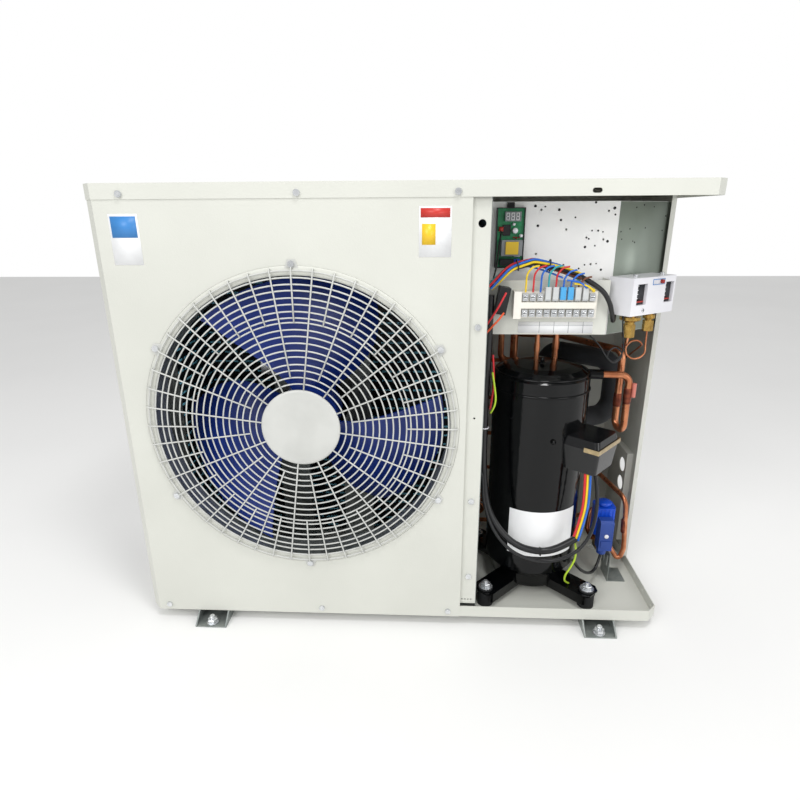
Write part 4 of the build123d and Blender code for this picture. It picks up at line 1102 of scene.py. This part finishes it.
        # The rows hold name, shape, finish, slot, bevel and whether doubled points are welded.
        card, black = "circuit_board", "black_plastic"
        for name, shape, finish, slot, bevel, merge in (
                ("display_body", block(171.5, -86, 719.5, 197.5, 734.5), GREY_PART, card, 0.3, True),
                ("display_bars", self.digits(), LABEL_WHITE, card, 0.0, False),
                ("transformer_core", block(166.4, -95, 665.4, 200.6, 690.6), GREY_PART, card, 0.6, True),
                ("relay_case", block(165.8, -92, 649.8, 188.2, 660.2), BLACK_PLASTIC, black, 0.5, True),
                ("board_capacitors", joined(cans), CASE_WHITE, card, 0.0, True),
                ("board_resistors", blocks(resistors), RED_PLASTIC, card, 0.0, False),
                ("winding_tape", block(173, -97.5, 668, 194, 688, -96.0), YELLOW_TAPE, card, 0.8, True),
                ("board_chip", block(170, front - 3, 697, 182, 714), BLACK_PLASTIC, black, 0.3, True),
                ("chip_legs", blocks(legs), ZINC, "zinc_fasteners", 0.0, False),
                ("red_header", block(163, front - 8, 704, 169.5, 711), RED_PLASTIC, "red_plastic", 0.0, True),
                ("blue_header", block(190, front - 8, 648, 199, 660), COIL_BLUE, "blue_coil_plastic", 0.4,
                 True),
                ("white_header", block(190, front - 7, 663.5, 199, 665), CASE_WHITE, "white_case", 0.0,
                 True)):
            piece(name, shape, finish, bevel=bevel, merge=merge)

    def build(self) -> None:
        """Adds the details that the frame leaves out."""
        self.holes()
        self.table()
        self.terminals()
        self.board()


@dataclass
class PressureControl:
    """Dual pressure control: scale cards with ticks behind the windows, reset rim and case screw.

    Attributes:
        origin: Corner of its case; the sizes below are from there, in the case's own frame.
        turn: Its turn about Z, in degrees.
        windows: Low and high X of each scale window.
        card_margin: Gap between a card and its window's edge.
        ticks: Number of ticks on a card.
        tick_pitch: Spacing of the ticks.
        tick_ends: Right end of an even and of an odd tick, from its window's left edge.
        rim: Low and high corner of each bar of the reset window's rim.
        screw: Seat of the case screw.
        screw_slot: Low and high corner of its slot.
    """

    origin: Point = (375.0, -125.0, 571.0)
    turn: float = 34.0
    windows: tuple[Pair, ...] = ((12.0, 37.0), (84.0, 106.0))
    card_margin: float = 0.2
    ticks: int = 9
    tick_pitch: float = 3.4
    tick_ends: Pair = (10, 7)
    rim: tuple[Box, ...] = (((49.0, -0.5, 47.8), (80.0, 0.0, 48.8)), ((49.0, -0.5, 56.2), (80.0, 0.0, 57.2)),
                            ((49.0, -0.5, 48.8), (50.0, 0.0, 56.2)), ((79.0, -0.5, 48.8), (80.0, 0.0, 56.2)))
    screw: Point = (31, 0, 8)
    screw_slot: Box = ((28.4, -1.0, 7.6), (33.6, -0.75, 8.4))

    def build(self) -> None:
        """Adds the cards, ticks, case screw and reset rim in the case's own frame."""
        cards = [((low + self.card_margin, 5.6, 17.2), (high - self.card_margin, 5.9, 50.8))
                 for low, high in self.windows]
        ticks = [((low + 2, 5.3, 20 + self.tick_pitch * k),
                  (low + self.tick_ends[k % 2], 5.55, 21.3 + self.tick_pitch * k))
                 for low, _ in self.windows for k in range(self.ticks)]
        screw = turned_to(lathe([(0, 0), (3.2, 0), (3.2, 0.6), (0, 0.8)], 24), "-Y", self.screw)
        for name, shape, finish, kind in (
                ("scale_cards", blocks(cards), SCALE_CARD, "black_plastic"),
                ("scale_ticks", blocks(ticks), LABEL_WHITE, "white_case"),
                ("reset_rim", blocks(self.rim), LABEL_BLUE, "white_case"),
                ("case_screw", screw, ZINC, "zinc_fasteners"),
                # The slot's dark bar is painted shade in its recess.
                ("case_screw_slot", blocks([self.screw_slot]), RUBBER_AND_PAINTED_SHADE, "black_plastic")):
            piece(name, in_frame(shape, self.origin, self.turn), finish)


@dataclass(frozen=True)
class Run:
    """One wire or cable along the route it hangs on.

    Attributes:
        name: Name of the piece.
        colour: Colour of its insulation.
        radius: Its radius.
        route: Points of its curve, in the unit's frame.
        node: The frame's node that it stands in for, if any.
    """

    name: str
    colour: WireColour
    radius: float
    route: tuple[Point, ...]
    stiffness: str = "medium"
    node: str = ""

    def lay(self) -> None:
        """Makes the cord, and lets it stand in for its node."""
        made = cord_piece(self.name, self.route, self.radius, self.colour.finish())
        if self.node:
            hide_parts(self.node)


@dataclass
class Wiring:
    """Loom, cables and leads, each a cord along the route it hangs on.

    Attributes:
        loom: Middle line of the loom of single wires.
        loom_colours: Its wires in order round that line.
        loom_offset: Distance of each wire from that line.
        turns: Twist of the loom along its length, in turns.
        loom_wire: Radius of one of its wires.
        cables: The cables with their own nodes in the frame.
        lead_shift: Distance between neighbouring leads of the compressor.
        tails: Colours of the short wires above the terminals, from the left.
        bare_ways: Terminals without a shroud, where a tail starts lower.
        loom_top: Height of the loom above the terminals.
        loom_bend: X past which the loom falls.
        loom_slope: How steeply it falls there.
        singles: The other single wires.
        bands: Name, middle, direction along the wires, radius and finish of each tie.
    """

    loom: tuple[Point, ...] = ((148, -119, 618), (180, -121, 650), (216, -121, 659), (258, -121, 648),
                               (294, -120, 634))
    loom_colours: tuple[WireColour, ...] = (WireColour.YELLOW, WireColour.BLUE, WireColour.RED,
                                            WireColour.TEAL, WireColour.BROWN, WireColour.BLACK)
    loom_offset: float = 4.6
    turns: float = 0.5
    loom_wire: float = 2.0
    cables: tuple[Run, ...] = (
        Run("pressure_control_cable", WireColour.BLACK, 4.0,
            ((294, -120, 634), (326, -119, 618), (343, -119, 594), (352, -112, 568), (358, -99, 557),
             (361.2, -88.5, 571)), "stiff", "harness_bundle"),
        Run("compressor_lead_sleeve", WireColour.BLACK, 6.5,
            ((320, -148, 172), (293, -147, 150), (258, -146, 140), (215, -147, 152), (180, -144, 184),
             (158, -133, 224), (150, -120, 290), (149.5, -114, 360), (149, -112, 430), (150, -116, 500),
             (149.5, -121, 545), (149.5, -121, 606)), "stiff", "lead_sleeve"),
        Run("solenoid_valve_cable", WireColour.BLACK, 3.0,
            ((398, -62, 88), (396, -64, 72), (380, -84, 52), (346, -112, 76), (322, -137, 118)),
            node="solenoid_cable"))
    lead_shift: float = 4.6
    tails: tuple[WireColour, ...] = (
        WireColour.YELLOW, WireColour.RED, WireColour.BLUE, WireColour.TEAL, WireColour.RED,
        WireColour.BLUE, WireColour.BLUE, WireColour.BROWN, WireColour.BLUE, WireColour.YELLOW)
    bare_ways: tuple[int, ...] = (0, 1, 2, 9)
    loom_top: float = 651.0
    loom_bend: float = 250.0
    loom_slope: float = 0.45
    singles: tuple[Run, ...] = (
        Run("earth_wire", WireColour.EARTH, 1.9,
            ((322, -140, 157), (327, -141, 132), (319, -142, 108), (309, -139, 86), (312, -131, 66),
             (323, -121, 56.2))),
        Run("capacitor_wire_red", WireColour.RED, 1.6,
            ((172, -140, 612), (164, -144, 596), (153, -143, 576), (143.5, -138, 560))),
        Run("capacitor_wire_orange", WireColour.ORANGE, 1.6,
            ((170, -140, 580), (163, -143, 570), (152, -142, 558), (143.5, -137, 546))),
        Run("board_wire_black", WireColour.BLACK, 1.4,
            ((166, -86, 704), (164.5, -92, 694), (162, -98, 678), (160, -106, 660), (157, -112, 643),
             (153, -118, 631))),
        Run("board_wire_blue", WireColour.BLUE, 1.5,
            ((194.5, -85.5, 652), (204, -95, 650), (222, -108, 648), (244, -118, 641), (262, -128, 634))),
        Run("control_capillary", WireColour.BLACK, 1.3,
            ((372, -103, 571), (372, -105, 550), (377, -107, 526), (377, -108, 505), (362, -110, 488),
             (347, -112, 504), (361, -114, 522), (377, -116, 506), (362, -118, 489), (346, -120, 503),
             (334, -118, 524), (318, -112, 538))),
        Run("side_wire_red", WireColour.RED, 1.7,
            ((158.5, -118, 505), (161, -120, 478), (162, -121, 450), (159.8, -119, 424), (158, -117, 408))),
        Run("side_wire_earth", WireColour.EARTH, 1.7,
            ((158.3, -124, 476), (163, -128, 450), (166, -130, 428), (162, -131, 412), (158, -126, 404))),
        Run("heater_cable", WireColour.BLACK, 3.2,
            ((346, -128, 300), (354, -132, 262), (355, -140, 212), (341, -150, 166), (308, -156.5, 136),
             (262, -158, 126), (214, -158, 140), (184, -154, 166), (163, -147, 200), (151, -135, 240),
             (150, -130, 276), (147.5, -129, 291), (142, -129, 292))))
    bands: tuple[tuple[str, Point, Point, float, Finish], ...] = (
        ("loom_tie_1", (190, -121, 653.2), (1.0, 0, 0.24), 8.4, BLACK_PLASTIC),
        ("loom_tie_2", (240, -121, 653.5), (1.0, 0, -0.24), 8.4, BLACK_PLASTIC),
        ("sleeve_tie_1", (149.6, -113.6, 372), (0, 0, 1.0), 7.4, CASE_WHITE),
        ("sleeve_tie_2", (258, -146, 141.6), (1.0, 0, 0), 7.4, BLACK_PLASTIC))

    def loom_wires(self) -> None:
        """Six coloured wires about the loom's line: each is that line plus a circle that turns along it."""
        line = np.array(self.loom, float)
        share = np.linspace(0, 1, 15)
        knots = np.linspace(0, 1, len(line))
        middle = np.stack([np.interp(share, knots, line[:, k]) for k in range(3)], axis=-1)
        tangent = np.gradient(middle, axis=0)
        tangent /= np.linalg.norm(tangent, axis=1, keepdims=True)
        side = np.cross(tangent, (0.0, -1.0, 0.0))
        side /= np.linalg.norm(side, axis=1, keepdims=True)
        for number, colour in enumerate(self.loom_colours):
            angle = (2 * np.pi * (number / len(self.loom_colours) + self.turns * share))[:, None]
            ring = np.cos(angle) * side + np.sin(angle) * np.array([[0, -1.0, 0]])
            cord_piece(f"loom_wire_{colour.name.lower()}", middle + self.loom_offset * ring, self.loom_wire,
                       colour.finish())

    def lay_leads(self) -> None:
        """The compressor's three leads, side by side from its terminal box into their sleeve."""
        for number, colour in enumerate((WireColour.RED, WireColour.YELLOW, WireColour.BLUE)):
            shift = self.lead_shift * (number - 1)
            Run(f"compressor_lead_{colour.name.lower()}", colour, 2.2,
                ((329 + shift, -146, 304), (331 + shift, -149, 262), (329 + shift, -150, 218),
                 (320 + 0.9 * shift, -148, 172 - 0.9 * shift)),
                node="" if number else "compressor_leads").lay()

    def lay_tails(self) -> None:
        """Short coloured wires from the terminals up into the loom, the last two leaning back to the left."""
        for number, colour in enumerate(self.tails):
            x = ControlPanel.block_x + ControlPanel.pitch * number
            low, front = (611.0, -124.0) if number in self.bare_ways else (619.6, -125.5)
            top = self.loom_top - self.loom_slope * max(0.0, x - self.loom_bend)
            reach = 9.0 if number < len(self.tails) - 2 else -16.0
            Run(f"terminal_wire_{number + 1}", colour, 1.5,
                ((x, front, low), (x, front - 2, low + 7), (x - 0.1 * reach, -130, top - 12),
                 (x + 0.4 * reach, -132.5, top - 4), (x + reach, -132, top + 1),
                 (x + 2 * reach, -130.5, top + 2))).lay()

    def ties(self) -> None:
        """Nylon ties round the loom and sleeve, and the grommet where one cable leaves through the wall.

        A tie is a circle in the plane across its wires, swept with a round section.
        """
        profile = [(3.3, -0.4), (6.2, -0.4), (7.0, 0.6), (6.2, 2.2), (4.2, 2.6), (3.3, 1.6), (3.3, -0.4)]
        grommet = turned_to(lathe(profile, 28), "X", (141.6, -129, 292))
        piece("wall_grommet", grommet, RUBBER_AND_PAINTED_SHADE)
        angle = np.linspace(0, 2 * np.pi, 28, endpoint=False)[:, None]
        for name, centre, along, radius, finish in self.bands:
            axis = np.array(along, float) / np.linalg.norm(along)
            side = np.cross(axis, (0.0, 1.0, 0.0))
            side /= np.linalg.norm(side)
            circle = np.array(centre) + radius * (np.cos(angle) * side + np.sin(angle) * np.cross(side, axis))
            piece(name, swept(circle, 1.1, 8, closed=True), finish)

    def build(self) -> None:
        """Lays every wire and ties the loom."""
        self.loom_wires()
        for run in self.cables:
            run.lay()
        self.lay_leads()
        self.lay_tails()
        for run in self.singles:
            run.lay()
        self.ties()


# ---------------------------------------------------------------- studio
@dataclass
class Studio:
    """Pale floor, soft lights, surroundings and the camera, in metres.

    Attributes:
        floor_half: Half the width of the floor.
        lights: Name, place, point aimed at, width and watts of each square light.
        lens_mm: Focal length of the camera.
        sensor_mm: Width of its sensor.
        eye: Place of the camera.
        ahead: Direction in which it looks.
        right: Direction to the right of its picture, squared up to the first one.
        soft: Strength of the surroundings on matt surfaces.
        mirrored: Strength of the surroundings in reflections.
    """

    floor_half: float = 6.0
    lights: tuple[tuple[str, Point, Point, float, float], ...] = (
        ("key_light", (-1.3, -2.2, 1.9), (0, 0, 0.4), 1.4, 30),
        ("fill_light", (1.9, -1.8, 1.0), (0.1, 0, 0.35), 1.2, 12),
        ("top_light", (0.3, -0.8, 2.1), (0.1, 0, 0.4), 0.4, 12))
    lens_mm: float = 25.12
    sensor_mm: float = 36
    eye: Point = (0.0459, -1.0432, 0.7316)
    ahead: Point = (-0.0463, 0.9477, -0.3158)
    right: Point = (0.9989, 0.0468, -0.006)
    soft: float = 0.74
    mirrored: float = 0.45

    def floor(self) -> bpy.types.Object:
        """Plain pale floor under the rails: one square about the origin.

        Returns:
            The floor's object.
        """
        mesh = bpy.data.meshes.new("studio_floor")
        h = self.floor_half
        mesh.from_pydata([(-h, -h, 0), (h, -h, 0), (h, h, 0), (-h, h, 0)], [], [(0, 1, 2, 3)])
        mesh.materials.append(FLOOR_PAINT.material())
        return self.stand("studio_floor", mesh, np.eye(4))

    def stand(self, name: str, data: bpy.types.ID, matrix: np.ndarray) -> bpy.types.Object:
        """Puts a mesh, lamp or camera into the scene.

        Args:
            name: Name of the object.
            data: What it shows or does.
            matrix: Its place and turn, as four rows of four.

        Returns:
            The new object.
        """
        made = bpy.data.objects.new(name, data)
        bpy.context.scene.collection.objects.link(made)
        made.matrix_world = Matrix(matrix.tolist())
        return made

    def light(self, name: str, place: Point, aim: Point, size: float, power: float) -> bpy.types.Object:
        """Adds a square area light, whose back axis is the line from its aim to its place.

        Args:
            name: Name of the light.
            place: Where it stands.
            aim: The point that it shines on.
            size: Width of the square.
            power: Its power in watts.

        Returns:
            The light's object.
        """
        lamp = bpy.data.lights.new(name, "AREA")
        lamp.size = size
        lamp.energy = power
        back = np.array(place, float) - np.array(aim, float)
        back /= np.linalg.norm(back)
        right = np.cross((0.0, 0.0, 1.0), back)
        right /= np.linalg.norm(right)
        matrix = np.eye(4)
        matrix[:3] = np.column_stack([right, np.cross(back, right), back, place])
        return self.stand(name, lamp, matrix)

    def camera(self) -> None:
        """Camera in front, a little to the right and above, with a moderately wide lens."""
        lens = bpy.data.cameras.new("camera")
        lens.lens = self.lens_mm
        lens.sensor_width = self.sensor_mm
        ahead = np.array(self.ahead)
        ahead /= np.linalg.norm(ahead)
        right = np.array(self.right)
        right -= ahead * right.dot(ahead)
        right /= np.linalg.norm(right)
        matrix = np.eye(4)
        matrix[:3] = np.column_stack([right, np.cross(right, ahead), -ahead, self.eye])
        bpy.context.scene.camera = self.stand("camera", lens, matrix)

    def surroundings(self) -> None:
        """White to the camera and through clear things, soft grey on matt surfaces, darker in reflections."""
        world = bpy.data.worlds.new("surroundings")
        bpy.context.scene.world = world
        bpy.context.scene.view_settings.view_transform = "Standard"
        world.use_nodes = True
        tree = world.node_tree
        rays = add_node(tree, "ShaderNodeLightPath")
        seen = add_node(tree, "ShaderNodeMath", {"operation": "MAXIMUM"},
                        {0: rays.outputs["Is Camera Ray"], 1: rays.outputs["Is Transmission Ray"]})
        soft = add_node(tree, "ShaderNodeMapRange", {},
                        {"Value": rays.outputs["Is Diffuse Ray"], "To Min": self.mirrored,
                         "To Max": self.soft})
        level = add_node(tree, "ShaderNodeMath", {"operation": "MAXIMUM"},
                         {0: seen.outputs[0], 1: soft.outputs[0]})
        grey = add_node(tree, "ShaderNodeCombineColor", {},
                        {name: level.outputs[0] for name in ("Red", "Green", "Blue")})
        tree.links.new(grey.outputs["Color"], tree.nodes["Background"].inputs["Color"])
        tree.nodes["Background"].inputs["Strength"].default_value = 1.0

    def build(self) -> None:
        """Sets the stage round the unit."""
        lights = [self.light(*row) for row in self.lights]
        self.floor()
        self.camera()
        self.surroundings()


SLOT_FINISHES: dict[str, Finish] = {
    "casing_paint": CASING_PAINT, "galvanised_steel": GALVANISED, "zinc_fasteners": ZINC,
    "guard_wire": GUARD_COAT, "aluminium_fins": FINS, "copper": COPPER, "brass_parts": BRASS,
    "blue_fan_plastic": NAVY_PLASTIC, "black_enamel": ENAMEL, "black_rubber": RUBBER_AND_PAINTED_SHADE,
    "black_plastic": BLACK_PLASTIC, "foam_rubber": FOAM, "blue_coil_plastic": COIL_BLUE,
    "blue_connector_plastic": PLUG_BLUE, "panel_white": PANEL_WHITE, "terminal_plastic": IVORY,
    "circuit_board": BOARD_GREEN, "cable_pvc": WireColour.BLACK.finish(), "white_case": CASE_WHITE,
    "red_plastic": RED_PLASTIC, "sensor_sleeve": SLEEVE_PINK}
# Edge radius in millimetres of the moulded boxes on which it shows.
ROUNDED = {"terminal_block": 0.8, "pressure_case": 0.8, "solenoid_coil": 1.0, "solenoid_connector": 0.8,
           "fan_capacitor": 0.8}


def dress_frame(record: dict) -> None:
    """Gives every CAD node the finish of its material slot, with an edge radius where one shows.

    Args:
        record: The part's record, with the node and slot of each sub-part.
    """
    for part in record["subparts"]:
        dress(SLOT_FINISHES[part["material_slot"]], part["node"], bevel=ROUNDED.get(part["node"], 0.0))
    dress(STRAP_STEEL, "terminal_box_strap")
    dress(GLOSS_BLACK, "terminal_box_cover", "terminal_box_base", bevel=1.5)


def main() -> None:
    """Dresses the frame, builds each sub-assembly in turn and sets the stage."""
    dress_frame(frame["record"])
    for part in (Casing(), FanGuard(), MotorGusset(), Compressor(), Joints(), Solenoid(), ControlPanel(),
                 PressureControl(), Wiring(), Studio()):
        part.build()
        LOG.info("built %s", type(part).__name__)


if __name__ == "__main__":
    main()
